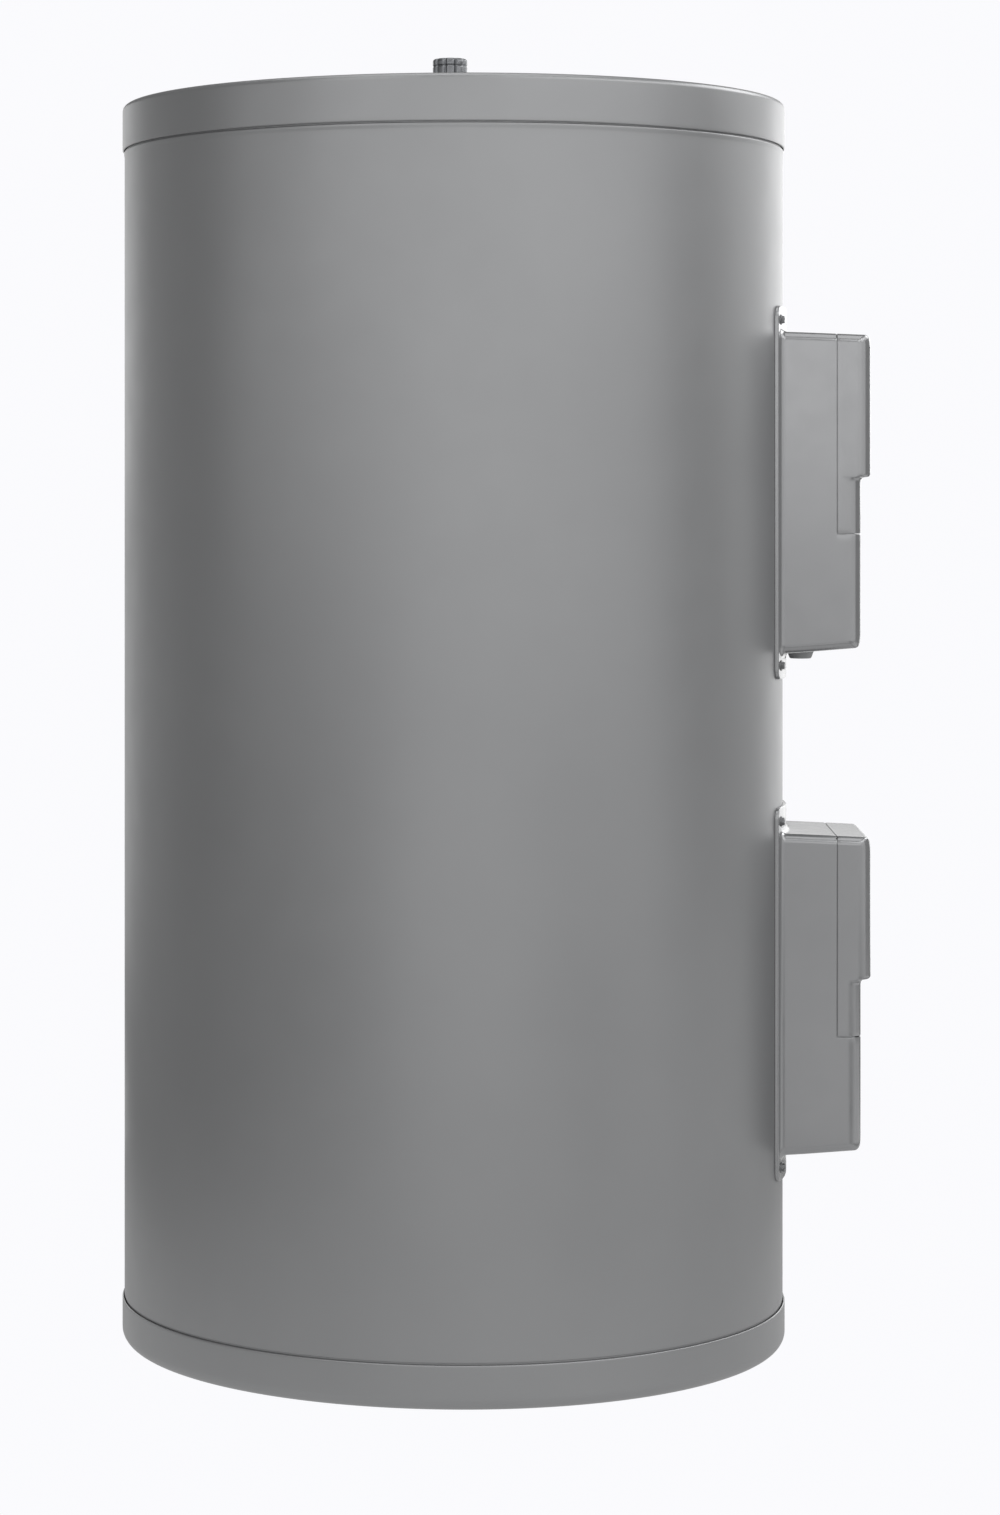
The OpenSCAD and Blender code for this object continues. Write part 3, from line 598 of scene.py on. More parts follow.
LOOKS = {name: kind(name, *values) for kind, looks in LOOK_TABLE.items() for name, values in looks.items()}


# ---------- shell ----------

def polar(radius, degrees, z):
    a = math.radians(degrees)
    return Vector((radius * math.cos(a), radius * math.sin(a), z))


WELL_TURN = math.degrees(math.asin(WELL_HALF_W / JACKET_R))
LAP_TURN = 150.0
LAP_ENDS = (42.6, 1093)
LAP = ((-2.04, 0.0), (-2.0, 0.9), (-1.9, 1.0), (1.9, 1.0), (2.0, 0.9), (2.04, 0.0))
VALVE_HOLES = ((90.0, RELIEF_Z), (90.0 + DRAIN_TURN, DRAIN_Z))
VALVE_HOLE_R = 22.0
ROW_STEP = 14.0    # between the jacket's rings
HOLE_STEP = 4.4    # between its rings beside the valves
JACKET_ENDS = ((14.0, -1.6), (1128.0, -0.3))
BEAD = ((1092.0, 0.0), (1093.5, 0.12), (1095.0, 0.38), (1096.2, 0.5), (1097.0, 0.4), (1097.5, 0.1),
        (1097.8, -0.4), (1098.0, -0.8))
FOOT_GROOVE = ((42.6, 0.0), (41.6, -0.05), (41.2, -0.2), (41.0, -0.5))


def jacket_rows():
    """Heights of the jacket's rings, each with how far the sheet stands out there."""
    rows = dict(JACKET_ENDS)
    rows.update(BEAD)
    rows.update(FOOT_GROOVE)
    rows.update({52.0 + ROW_STEP * k: 0.0 for k in range(75)})
    for _, hole_z in VALVE_HOLES:
        rows.update({hole_z + k * HOLE_STEP: 0.0 for k in range(-7, 8)})
    for _, centre in BOXES:
        rows.update({centre - WELL_HALF_H: 0.0, centre + WELL_HALF_H: 0.0})
    return sorted(rows.items())


def jacket_turns():
    """Angles round the jacket, each with the height of the lap seam there."""
    turns = {float(a): 0.0 for a in range(360) if not abs(a - LAP_TURN) < 3}
    turns.update({LAP_TURN + off: rise for off, rise in LAP})
    turns[WELL_TURN] = 0.0
    turns[360 - WELL_TURN] = 0.0
    return sorted(turns.items())


def make_jacket():
    rows, turns = jacket_rows(), jacket_turns()
    outer, inner, faces = [], [], []
    for z, out in rows:
        for turn, lap in turns:
            lap = lap if LAP_ENDS[0] <= z <= LAP_ENDS[1] else 0.0
            outer.append(polar(JACKET_R + out + lap, turn, z))
            inner.append(polar(JACKET_R + out - JACKET_T, turn, z))
    count = len(turns)
    for r in range(len(rows) - 1):
        mid_z = (rows[r][0] + rows[r + 1][0]) / 2
        for i in range(count):
            j = (i + 1) % count
            mid = (turns[i][0] + (turns[j][0] if j else 360.0)) / 2
            if abs((mid + 180) % 360 - 180) < WELL_TURN and any(
                    abs(mid_z - c) < WELL_HALF_H for _, c in BOXES):
                continue
            if any(math.hypot(math.radians(mid - t) * JACKET_R, mid_z - z) < VALVE_HOLE_R
                   for t, z in VALVE_HOLES):
                continue
            faces.append([r * count + i, r * count + j, (r + 1) * count + j, (r + 1) * count + i])
    snap_holes(outer, inner, faces)
    make_piece("jacket_sheet", compact(thicken(outer, inner, faces)), "jacket_paint", nodes=["jacket"],
               sharp=28)


def snap_holes(outer, inner, faces):
    """Draws the rims of the holes for the valves out to true circles."""
    used = {}
    for face in faces:
        for i in face:
            used[i] = used.get(i, 0) + 1
    for turn, hole_z in VALVE_HOLES:
        for i, times in used.items():
            p = outer[i]
            across = math.radians(math.degrees(math.atan2(p.y, p.x)) - turn) * JACKET_R
            reach = math.hypot(across, p.z - hole_z)
            if times < 4 and reach < VALVE_HOLE_R + 8:
                k = VALVE_HOLE_R / reach
                for skin, radius in ((outer, JACKET_R), (inner, JACKET_R - JACKET_T)):
                    skin[i] = polar(radius, turn + math.degrees(across * k / JACKET_R),
                                    hole_z + (p.z - hole_z) * k)


def compact(part):
    """Shape of a part without the vertices that no face uses."""
    verts, faces = part
    used = sorted({i for face in faces for i in face})
    place = {old: new for new, old in enumerate(used)}
    shape = Shape()
    shape.verts = [Vector(verts[i]) for i in used]
    shape.faces = [[place[i] for i in face] for face in faces]
    return shape


def make_pans():
    top_in = HEIGHT - PAN_T
    top = [(0, HEIGHT)]
    top += [(276, HEIGHT), (280, HEIGHT + 0.3), (283, HEIGHT + 1.0), (286, HEIGHT + 1.25),
            (289, HEIGHT + 1.0), (292, HEIGHT + 0.3), (295.5, HEIGHT), (300, HEIGHT)]
    top += arc((PAN_R - 5, HEIGHT - 5), 5, 90, 0, 8)
    top += [(PAN_R, HEIGHT - 12), (PAN_R, TOP_SKIRT + 4)]
    top += [(PAN_R, TOP_SKIRT + 1.2), (PAN_R - 0.15, TOP_SKIRT + 0.4), (PAN_R - 0.6, TOP_SKIRT),
            (PAN_IN_R + 0.2, TOP_SKIRT), (PAN_IN_R, TOP_SKIRT + 0.3)]
    top += [(PAN_IN_R, HEIGHT - 9)] + arc((PAN_IN_R - 3.4, top_in - 3.4), 3.4, 0, 90, 5)
    top += [(290, top_in), (0, top_in)]
    make_piece("top_pan_pressing", Shape().add(lathe(top, 240)), "pan_paint",
               nodes=["top_pan"], sharp=50)
    low = [(0, 0), (270, 0), (290, 0)]
    low += arc((PAN_R - 11, 11), 11, -90, 0, 10)
    low += [(PAN_R, 16), (PAN_R, BOTTOM_SKIRT - 3), (PAN_R, BOTTOM_SKIRT - 1.0),
            (PAN_R - 0.3, BOTTOM_SKIRT - 0.3), (PAN_R - 0.9, BOTTOM_SKIRT),
            (PAN_IN_R + 0.3, BOTTOM_SKIRT - 0.1), (PAN_IN_R, BOTTOM_SKIRT - 0.5)]
    low += [(PAN_IN_R, 14)] + arc((PAN_IN_R - 9.4, PAN_T + 9.4), 9.4, 0, -90, 8)
    low += [(0, PAN_T)]
    make_piece("bottom_pan_pressing", Shape().add(lathe(low, 240)), "pan_paint",
               nodes=["bottom_pan"], sharp=50)


def arc(centre, radius, start, end, steps):
    out = []
    for k in range(steps + 1):
        a = math.radians(start + (end - start) * k / steps)
        out.append((centre[0] + radius * math.cos(a), centre[1] + radius * math.sin(a)))
    return out


def sheet_screw():
    """Slotted hex washer head, its Z out of the sheet."""
    head = Shape()
    head.add(lathe([(0, -9), (1.0, -8), (2.0, -6), (2.0, 0), (4.5, 0), (4.75, 0.25), (4.6, 0.8), (3.6, 1.1),
                    (0, 1.1)], 32))
    outline = flats(6, 6.35, 0.25)
    head.add(stack(outline, [(0.9, 0), (2.9, 0), (3.25, 0.25), (3.4, 0.6)], 3.175))
    slot = Shape().add(block((-4, -0.45, 2.7), (4, 0.45, 4), 0.05, 1))
    return carve(head, slot)


def make_jacket_screws():
    screw = sheet_screw()
    shape = Shape()
    rise = FLANGE_HALF_H - 12.5
    turn = math.degrees(math.asin(72 / FLANGE_R))
    spins = (20, 75, 130, 40, 100, 160, 10, 60)
    places = [(s * turn, z + u * rise, FLANGE_R) for _, z in BOXES for s in (-1, 1) for u in (-1, 1)]
    places += [(LAP_TURN, 90 + i * 138, JACKET_R + 1) for i in range(8)]
    for k, (angle, z, radius) in enumerate(places):
        place = (Matrix.Rotation(math.radians(angle), 4, "Z") @ at(radius, 0, z)
                 @ Matrix.Rotation(math.radians(90), 4, "Y")
                 @ Matrix.Rotation(math.radians(spins[k % len(spins)]), 4, "Z"))
        shape.add(screw.part, place)
    make_piece("sheet_screws", shape, "screw_zinc", nodes=["jacket_screws"], look="screw_painted")


# ---------- electrical boxes ----------

def box_levels():
    """Heights up a box's sides, from its centre, each with the distance of the front there."""
    levels = [(z, LOW_X) for z in (-118, -106, -90, -70, -55, -45, -38.8, SEAM_Z, SEAM_Z + SEAM_GAP,
                                   -36.4, -33, -22, -10, 2, 7, 9)]
    for k in range(6):
        a = math.radians(90 - 18 * k)
        levels.append((9.5 + 4.5 * math.cos(a), LOW_X + 4.5 - 4.5 * math.sin(a)))
    for k in range(6):
        a = math.radians(90 - 18 * k)
        levels.append((17.1 - 3 * math.sin(a), RAISED_X - 3 + 3 * math.cos(a)))
    return levels + [(z, RAISED_X) for z in (17.8, 20, 26, 45, 70, 92, 106, 118)]


PAST_ALL = 200   # stands above every side level


class Spot:
    """One place on a box's outline: a side level, a corner angle or a share of the top or bottom edge."""

    def __init__(self, kind, t, sign, up, front_x, weight):
        self.kind, self.t, self.sign, self.up = kind, t, sign, up
        self.front_x, self.weight = front_x, weight
        self.z_level = t if kind == "side" else (PAST_ALL if up else -PAST_ALL)

    def on(self, half_w, low, high, radius):
        """y and z of the spot on a rounded rectangle."""
        if self.kind == "side":
            return self.sign * half_w, self.t
        if self.kind == "edge":
            return self.t * (half_w - radius), high if self.up else low
        a = math.radians(self.t)
        middle = high - radius if self.up else low + radius
        return self.sign * (half_w - radius + radius * math.cos(a)), middle + radius * math.sin(a)


CORNER_STEPS = 8
CAP_SHARE = 3   # strips of a corner that stay outside the cap on the flat front
EDGE_SHARES = (-0.86, -0.64, -0.43, -0.22, 0.0, 0.22, 0.43, 0.64, 0.86)


def box_chain(sign):
    """Spots up one side of a box, from its bottom edge to its top edge."""
    angles = [90 * k / CORNER_STEPS for k in range(CORNER_STEPS + 1)]
    low = [Spot("corner", a - 90, sign, False, LOW_X, math.sin(math.radians(a)) ** 2) for a in angles]
    side = [Spot("side", z, sign, z > 0, x, 1.0) for z, x in box_levels()]
    high = [Spot("corner", a, sign, True, RAISED_X, math.cos(math.radians(a)) ** 2) for a in angles]
    return low + side + high


def box_loop():
    """Spots all round a box: up the +Y side, over the top, down the -Y side and along the bottom."""
    top = [Spot("edge", s, 0, True, RAISED_X, 0.0) for s in reversed(EDGE_SHARES)]
    low = [Spot("edge", s, 0, False, LOW_X, 0.0) for s in EDGE_SHARES]
    return box_chain(1) + top + box_chain(-1)[::-1] + low


LOOP = box_loop()


def top_at(x):
    return BOX_HALF_H - 0.042 * (x - FLANGE_R)


def low_at(x):
    return -BOX_HALF_H + 0.082 * (x - FLANGE_R)


def on_plate(spot, half_w, half_h, radius, tank_radius, lift=0.0):
    """Spot on an outline wrapped round the tank."""
    y, z = spot.on(half_w, -half_h, half_h, radius)
    return Vector((math.sqrt(tank_radius ** 2 - y * y) + lift, y, z))


def on_fillet(spot, radius, turn):
    """Spot on the hollow between flange and wall; turn goes from the flange to the wall."""
    t = math.radians(turn)
    out, lift = radius * (1 - math.sin(t)), radius * (1 - math.cos(t))
    return on_plate(spot, BOX_HALF_W + out, BOX_HALF_H + out, BOX_EDGE_R + out, FLANGE_R, lift)


def on_wall(spot, x, depth=0.0):
    """Spot on a box's wall at a distance from the tank's axis, drawn in by a depth."""
    radius = max(BOX_EDGE_R - depth, 2)
    y, z = spot.on(BOX_HALF_W - depth, low_at(x) + depth, top_at(x) - depth, radius)
    return Vector((x, y, z))


def on_front(spot, turn, depth=0.0, beyond=0.0):
    """Spot on the rounding from the walls to the front; turn 0 is on the wall and 90 on the front."""
    t = math.radians(turn)
    side_r, edge_r = BOX_CORNER_R - depth, BOX_FRONT_R - depth
    in_y = side_r * (1 - math.cos(t)) + beyond
    in_z = edge_r * (1 - math.cos(t)) + beyond
    round_r = side_r * spot.weight + edge_r * (1 - spot.weight)
    x = spot.front_x - depth - round_r * (1 - math.sin(t))
    radius = max(BOX_EDGE_R - depth, 2)
    y, z = spot.on(BOX_HALF_W - depth - in_y, low_at(x) + depth + in_z, top_at(x) - depth - in_z, radius)
    return Vector((x, y, z))


FRONT_TURNS = (0, 11, 22, 34, 45, 56, 68, 79, 90)
CHAMFER = 0.3


def front_stages():
    """Ways to place a spot, ring by ring, from just past the seam to the flat front."""
    stages = [lambda s, d: on_wall(s, SEAM_X + SEAM_GAP, d), lambda s, d: on_wall(s, SEAM_X + 1.6, d),
              lambda s, d: on_wall(s, SEAM_X + 4, d)]
    stages += [lambda s, d, t=t: on_front(s, t, d) for t in FRONT_TURNS]
    return stages + [lambda s, d: on_front(s, 90, d, 1.2)]


def front_faces(spots, first):
    """Strips across the flat front between the two sides' spots of the last ring, with one cap at its end."""
    right = [i for i, s in enumerate(spots) if s.sign == 1]
    left = [i for i, s in enumerate(spots) if s.sign == -1]
    for side in (right, left):
        if spots[side[0]].z_level > spots[side[-1]].z_level:
            side.reverse()
    run = sorted((i for i, s in enumerate(spots) if s.sign == 0), key=lambda i: spots[i].t)
    corner = [k for k, i in enumerate(right) if spots[i].kind == "corner"]
    if spots[run[0]].up:
        split = corner[0] + CAP_SHARE
        cap = right[split:] + run[::-1] + left[split:][::-1]
        strips = range(split)
    else:
        split = corner[-1] - CAP_SHARE
        cap = left[:split + 1][::-1] + run + right[:split + 1]
        strips = range(split, len(right) - 1)
    faces = [[right[k], right[k + 1], left[k + 1], left[k]] for k in strips] + [cap]
    return [[first + i for i in face] for face in faces]


def front_skin(spots, stages, depth, is_edge):
    """Rings of spots over the front, drawn in a little where they meet the seam."""
    points = []
    for r, stage in enumerate(stages):
        points += [stage(s, depth + (CHAMFER if is_edge(s, r) else 0.0)) for s in spots]
    return points


def cover_shape():
    spots = [s for s in LOOP if s.z_level >= SEAM_Z + SEAM_GAP - 0.01]
    stages = front_stages()

    def is_edge(spot, ring):
        return ring == 0 or spot.z_level < SEAM_Z + SEAM_GAP + 0.01

    outer = front_skin(spots, stages, 0.0, is_edge)
    inner = front_skin(spots, stages, COVER_T, lambda s, r: False)
    faces = grid(len(stages), len(spots), closed=False)
    faces += front_faces(spots, (len(stages) - 1) * len(spots))
    return compact(thicken(outer, inner, faces))


def base_rings():
    """Outer and inner rings of the base, from the flange's back edge to the seam."""
    edge = ((0, FLANGE_IN_R), (0, FLANGE_R - 1.1), (0.15, FLANGE_R - 0.5), (0.5, FLANGE_R - 0.1),
            (0.8, FLANGE_R))
    outer = [lambda s, d=d, r=r: on_plate(s, FLANGE_HALF_W - d, FLANGE_HALF_H - d, 10 - d, r) for d,
             r in edge]
    outer += [lambda s, t=t: on_fillet(s, 5.2, t) for t in (0, 15, 30, 45, 60, 75, 90)]
    outer += [lambda s: on_wall(s, 320), lambda s: on_wall(s, 335), lambda s: on_wall(s, SEAM_X - SEAM_GAP),
              lambda s: on_wall(s, SEAM_X, 0.0 if s.z_level < SEAM_Z + 0.01 else CHAMFER)]
    back = [(82.5, 168.5, 9), (80, 166, 8), (70, 150, 8), (61, 127, 7), (60, 126, 6)]
    inner = [lambda s, b=b: on_plate(s, *b, FLANGE_IN_R) for b in back]
    floor = [(60, 126, 6), (60.6, 126.6, 6), (66, 134, 6), (70, 139, 6), (73, 141.5, 5)]
    inner += [lambda s, b=b: on_plate(s, *b, FLANGE_R) for b in floor]
    inner += [lambda s: on_plate(s, 74.3, 142.6, 5, FLANGE_R, 0.4),
              lambda s: on_plate(s, 74.5, 143, 5, FLANGE_R, 2)]
    inner += [lambda s: on_wall(s, 320, BASE_T), lambda s: on_wall(s, 335, BASE_T),
              lambda s: on_wall(s, SEAM_X - SEAM_GAP, BASE_T), lambda s: on_wall(s, SEAM_X, BASE_T)]
    return outer, inner


def base_shape():
    outer_rings, inner_rings = base_rings()
    outer = [ring(s) for ring in outer_rings for s in LOOP]
    inner = [ring(s) for ring in inner_rings for s in LOOP]
    faces = grid(len(outer_rings), len(LOOP))
    start = (len(outer_rings) - 1) * len(LOOP)
    low = [i for i, s in enumerate(LOOP) if s.z_level < SEAM_Z + 0.01]
    gap = next(k for k in range(len(low) - 1) if low[k + 1] != low[k] + 1)
    low = low[gap + 1:] + low[:gap + 1]
    spots = [LOOP[i] for i in low]
    stages = front_stages()

    def is_edge(spot, ring):
        return abs(spot.z_level - SEAM_Z) < 0.01

    first = len(outer)
    outer += front_skin(spots, stages, 0.0, is_edge)
    inner += front_skin(spots, stages, BASE_T, lambda s, r: False)
    count = len(spots)
    faces += [[start + low[i], start + low[i + 1], first + i + 1, first + i] for i in range(count - 1)]
    faces += [[first + i for i in face] for face in grid(len(stages), len(spots), closed=False)]
    faces += front_faces(spots, first + (len(stages) - 1) * count)
    shape = compact(thicken(outer, inner, faces))
    shape.add(lip_part())
    shape.add(block((360.6, -62, -58), (365.4, 62, -18), 0.8))
    shape.add(block((361.0, -61.8, -57.8), (LOW_X - 1, 61.8, -52), 0.8))
    for side in (-1, 1):
        y = sorted((side * 71.2, side * 74.3))
        shape.add(block((350.5, y[0], -46), (366.0, y[1], -29), 0.5))
    return shape


LIP_ROWS = ((342.5, 2.95), (354.3, 2.95), (355.3, 3.3), (355.5, 3.8))
LIP_DEPTH = 5.0
LIP_LOW = -46


def lip_part():
    """Lip inside the base's front edge that the cover slides over."""
    spots = [s for s in LOOP if s.z_level >= LIP_LOW]
    outer, inner = [], []
    for x, depth in LIP_ROWS:
        outer += [on_wall(s, x, depth) for s in spots]
        inner += [on_wall(s, x, LIP_DEPTH) for s in spots]
    return thicken(outer, inner, grid(len(LIP_ROWS), len(spots), closed=False))


def cover_cutters():
    """Seats and holes of the cover's two screws."""
    cut = Shape()
    for y in (-COVER_SCREW_Y, COVER_SCREW_Y):
        place = front(COVER_SCREW_Z, y)
        cut.add(lathe([(0, 355), (2.3, 355), (2.3, 369.4), (4.9, 369.4), (5.2, 371.2), (5.9, 372.4),
                       (5.9, 376),
                       (0, 376)], 40), place)
    return cut


def cover_with_seats():
    shape = cover_shape()
    bosses = Shape()
    for y in (-COVER_SCREW_Y, COVER_SCREW_Y):
        bosses.add(disc(8, 366, 370.6, 0.4, 40), front(COVER_SCREW_Z, y))
    holes = cover_cutters()
    shape = carve(shape, holes)
    bosses = carve(bosses, holes)
    return shape.add(bosses.part)


def cover_screw():
    """Pan head with a cross slot, its Z out of the cover."""
    head = Shape().add(lathe([(0, 358.6), (1.0, 358.6), (1.72, 360.5), (1.72, 369.5), (4.5, 369.45),
                              (4.6, 369.8),
                              (4.45, 370.6), (3.7, 371.25), (2.2, 371.55), (0, 371.6)], 40))
    slots = Shape().add(block((-2.4, -0.5, 370.5), (2.4, 0.5, 373), 0.1, 1))
    slots.add(block((-0.5, -2.4, 370.45), (0.5, 2.4, 373.05), 0.1, 1))
    return carve(head, slots)


def make_boxes():
    base, cover, screw = base_shape(), cover_with_seats(), cover_screw()
    for name, z in BOXES:
        lift = at(0, 0, z)
        make_piece(name + "_box_base_moulding", base.placed(lift),
                   "box_plastic", nodes=[name + "_box_base"], sharp=38)
        make_piece(name + "_box_cover_moulding", cover.placed(lift),
                   "box_plastic", name + "_cover", [name + "_box_cover"], sharp=38)
        screws = Shape()
        for y, spin in ((-COVER_SCREW_Y, 25), (COVER_SCREW_Y, 64)):
            place = front(z + COVER_SCREW_Z, y) @ Matrix.Rotation(math.radians(spin), 4, "Z")
            screws.add(screw.part, place)
        make_piece(name + "_cover_cross_screws", screws, "screw_zinc",
                   name + "_cover", [name + "_cover_screws"])


def make_bushing():
    wall = UPPER_Z - BOX_HALF_H + (322 - FLANGE_R) * 0.082
    profile = [(8, wall + 6.6), (8, wall - 7.4), (8.3, wall - 8.2), (8.9, wall - 8.5), (9.6, wall - 8.3),
               (10.2, wall - 7.6), (10.6, wall - 6.6), (12.3, wall - 2.2), (12.5, wall - 1.4),
               (12.5, wall + 0.4), (11.0, wall + 0.6),
               (11.0, wall + 4.2), (11.5, wall + 4.9), (11.5, wall + 5.6), (10.6, wall + 7)]
    shape = Shape().add(turned(profile, 64), at(322, 0, 0))
    make_piece("supply_bushing_flanged", shape, "dark_plastic", nodes=["supply_bushing"],
               look="bushing_plastic")


make_jacket()
make_pans()
make_jacket_screws()
make_boxes()
make_bushing()


# ---------- water connections ----------

def fluted_outline(radius, flutes, depth, width, turn, count=240):
    """Round outline with upright grooves."""
    out = []
    for i in range(count):
        a = 360 * i / count
        off = (a - turn + 180 / flutes) % (360 / flutes) - 180 / flutes
        r = radius - depth * math.exp(-(off / width) ** 2)
        out.append((r * math.cos(math.radians(a)), r * math.sin(math.radians(a))))
    return out


def make_nipples():
    """Fluted soldering ends with a groove round the middle, on threaded nipples."""
    low = PORT_TOP - 25
    levels = [(low, 1.6), (low + 0.6, 0.6), (low + 1.4, 0.1), (low + 2.4, 0.0), (low + 9, 0.0),
              (low + 16.8, 0.0),
              (low + 17.4, 0.35), (low + 18.2, 0.75), (low + 19.0, 0.35), (low + 19.6, 0.0),
              (low + 22.4, 0.0),
              (low + 23.6, 0.35), (low + 24.5, 1.2), (low + 24.9, 2.1), (low + 25, 3.0)]
    for name, y in (("hot", -PORT_Y), ("cold", PORT_Y)):
        shape = Shape().add(stack(fluted_outline(15.7, 10, 1.7, 4.2, -90 + 20.5), levels, 15.7))
        bore = Shape().add(lathe([(0, 1140), (10.4, 1140), (10.4, 1154.3), (11.2, 1154.3), (11.2, 1173.4),
                                  (11.8, 1174.6), (11.8, 1180), (0, 1180)], 64))
        shape = carve(shape, bore)
        pipe = [(10.4, 1062), (PIPE_R - 1, 1062)] + turned_grooves(PIPE_R, 1063, 1081, 1.8, 0.9)
        pipe += [(PIPE_R, 1083), (PIPE_R, low + 0.6), (10.4, low + 0.6)]
        shape.add(turned(pipe, 64))
        make_piece(name + "_nipple_end", shape.placed(at(0, y, 0)),
                   "nipple_steel", nodes=[name + "_nipple"], sharp=40)


def make_top_trim():
    collars = Shape()
    profile = [(13.6, 1134), (19.2, 1134), (19.7, 1134.6), (19.7, 1139.9), (26, 1139.9), (26.1, 1140.6),
               (25.7, 1141.6), (24.4, 1142.4), (20, 1143.0), (14.2, 1143.2), (13.6, 1142.8)]
    for y in (-PORT_Y, PORT_Y):
        collars.add(turned(profile, 72), at(0, y, 0))
    make_piece("nipple_collar_pair", collars, "trim_plastic", nodes=["nipple_collars"])
    profile = [(0, 1145), (8, 1144.8), (16, 1144.0), (22, 1143.1), (26, 1142.2), (28.2, 1141.4), (29, 1140.6),
               (28.9, 1139.95), (25.6, 1139.9), (25.6, 1133), (25.1, 1132), (23.6, 1132), (23.5, 1139.4),
               (0, 1139.4)]
    cap = Shape().add(lathe(profile, 72), at(ANODE_X, 0, 0))
    make_piece("anode_cap_button", cap, "trim_plastic", nodes=["anode_cap"], sharp=45)


make_nipples()
make_top_trim()


# ---------- heating and controls ----------

def make_dials():
    for name, z in BOXES:
        knob = Shape().add(lathe([(0, 269), (2.7, 269), (3, 269.4), (3, 277.2), (8.4, 277.3), (9, 277.8),
                                  (8.85, 279.6), (8.3, 280.4), (0, 280.5)], 56))
        knob = carve(knob, Shape().add(block((-5, -0.7, 279.6), (5, 0.7, 282), 0.1, 1)))
        knob.add(block((-8.4, -0.7, 279.9), (-5.6, 0.7, 281.2), 0.2))
        make_piece(name + "_dial_knob", knob.placed(front(z - 15)),
                   "dial_plastic", name + "_dial", [name + "_dial"])
    button = lathe([(0, 269.5), (4.6, 269.5), (5, 269.9), (5, 280.4), (4.6, 281), (3.6, 281.1), (3.3, 281.7),
                    (2.6, 282), (0, 282)], 40)
    make_piece("reset_button_cap", Shape().add(button, front(UPPER_Z + 54)), "button_red", "reset_button",
               ["reset_button"])


def curve_point(points, i, t):
    """Point on the smooth curve through a route, between its points i and i + 1."""
    a = Vector(points[max(i - 1, 0)])
    b, c = Vector(points[i]), Vector(points[i + 1])
    d = Vector(points[min(i + 2, len(points) - 1)])
    return 0.5 * (2 * b + t * (c - a) + t * t * (2 * a - 5 * b + 4 * c - d)
                  + t ** 3 * (3 * b - a - 3 * c + d))


def smooth(points, steps=8):
    out = [curve_point(points, i, k / steps) for i in range(len(points) - 1) for k in range(steps)]
    return eased(out + [Vector(points[-1])])


def eased(path, step=1.6, rounds=14):
    """Path in even steps, with its bends relaxed so that a wire's skin doesn't fold on their inside."""
    even = [path[0]]
    for point in path[1:-1]:
        if (point - even[-1]).length >= step:
            even.append(point)
    if (path[-1] - even[-1]).length < step / 2:
        even.pop()
    even.append(path[-1])
    for _ in range(rounds):
        even = [even[0]] + [(even[i - 1] + 2 * even[i] + even[i + 1]) / 4
                            for i in range(1, len(even) - 1)] + [even[-1]]
    return even


def lifted(z, points):
    return [(x, y, z + rise) for x, y, rise in points]


def from_post(x, y, z):
    return [(x + step, y, z) for step in (0, 2.5, 5)]


def to_post(x, y, z):
    return from_post(x, y, z)[::-1]


def make_wires():
    control, element = 279.1, 286.1
    down = [(297, 40, -20), (298, 36, -55), (297, 22, -80), (294, 10, -84.5)]
    black = [
        lifted(UPPER_Z, [(327.4, -23, 94.3), (328, -23, 86), (322, -21, 77), (300, -17, 72)]
               + to_post(control, -16, 72)),
        lifted(UPPER_Z, from_post(control, -16, 36) + [(290, -17, 33), (292, -17, 22), (290, -17, 11)]
               + to_post(control, -16, 8)),
        lifted(UPPER_Z, from_post(control, -16, -38)
               + [(289, -20, -42), (292, -28, -52), (288, -34, -70), (282.5, -35, -95), (282.5, -35, -125)])
        + lifted(LOWER_Z, [(282.5, -35, 125), (282.5, -35, 100), (288, -34, 70), (292, -26, 40),
                           (289, -19, 18)]
                 + to_post(control, -16, 8))]
    red = [
        lifted(UPPER_Z, [(327.4, 23, 94.3), (328, 23, 86), (322, 21, 77), (300, 17, 72)]
               + to_post(control, 16, 72)),
        lifted(UPPER_Z, from_post(control, 16, 36) + [(292, 22, 30), (297, 36, 10)] + down
               + to_post(element, 7, -85)),
        lifted(UPPER_Z, from_post(control, 16, 8)
               + [(292, 10, 2), (299, -12, -18), (299, -38, -40), (290, -42, -70), (277.5, -35, -98),
                  (277.5, -35, -125)])
        + lifted(LOWER_Z, [(277.5, -35, 125), (277.5, -34, 112), (284, -22, 96), (296, 6, 76), (298, 38, 35)]
                 + down + to_post(element, 7, -85))]
    blue = [lifted(z, from_post(control, 16, -38)
                   + [(290, 14, -44), (295, 0, -56), (297, -10, -70), (295, -9, -82)]
                   + to_post(element, -7, -85)) for _, z in BOXES]
    for colour, routes in (("black", black), ("red", red), ("blue", blue)):
        shape = Shape()
        for route in routes:
            shape.add(tube(smooth(route), WIRE_R, 14))
        make_piece(colour + "_lead_wires", shape, "wire_" + colour,
                   nodes=[colour + "_wires"])


make_dials()
make_wires()


# ---------- side valves ----------

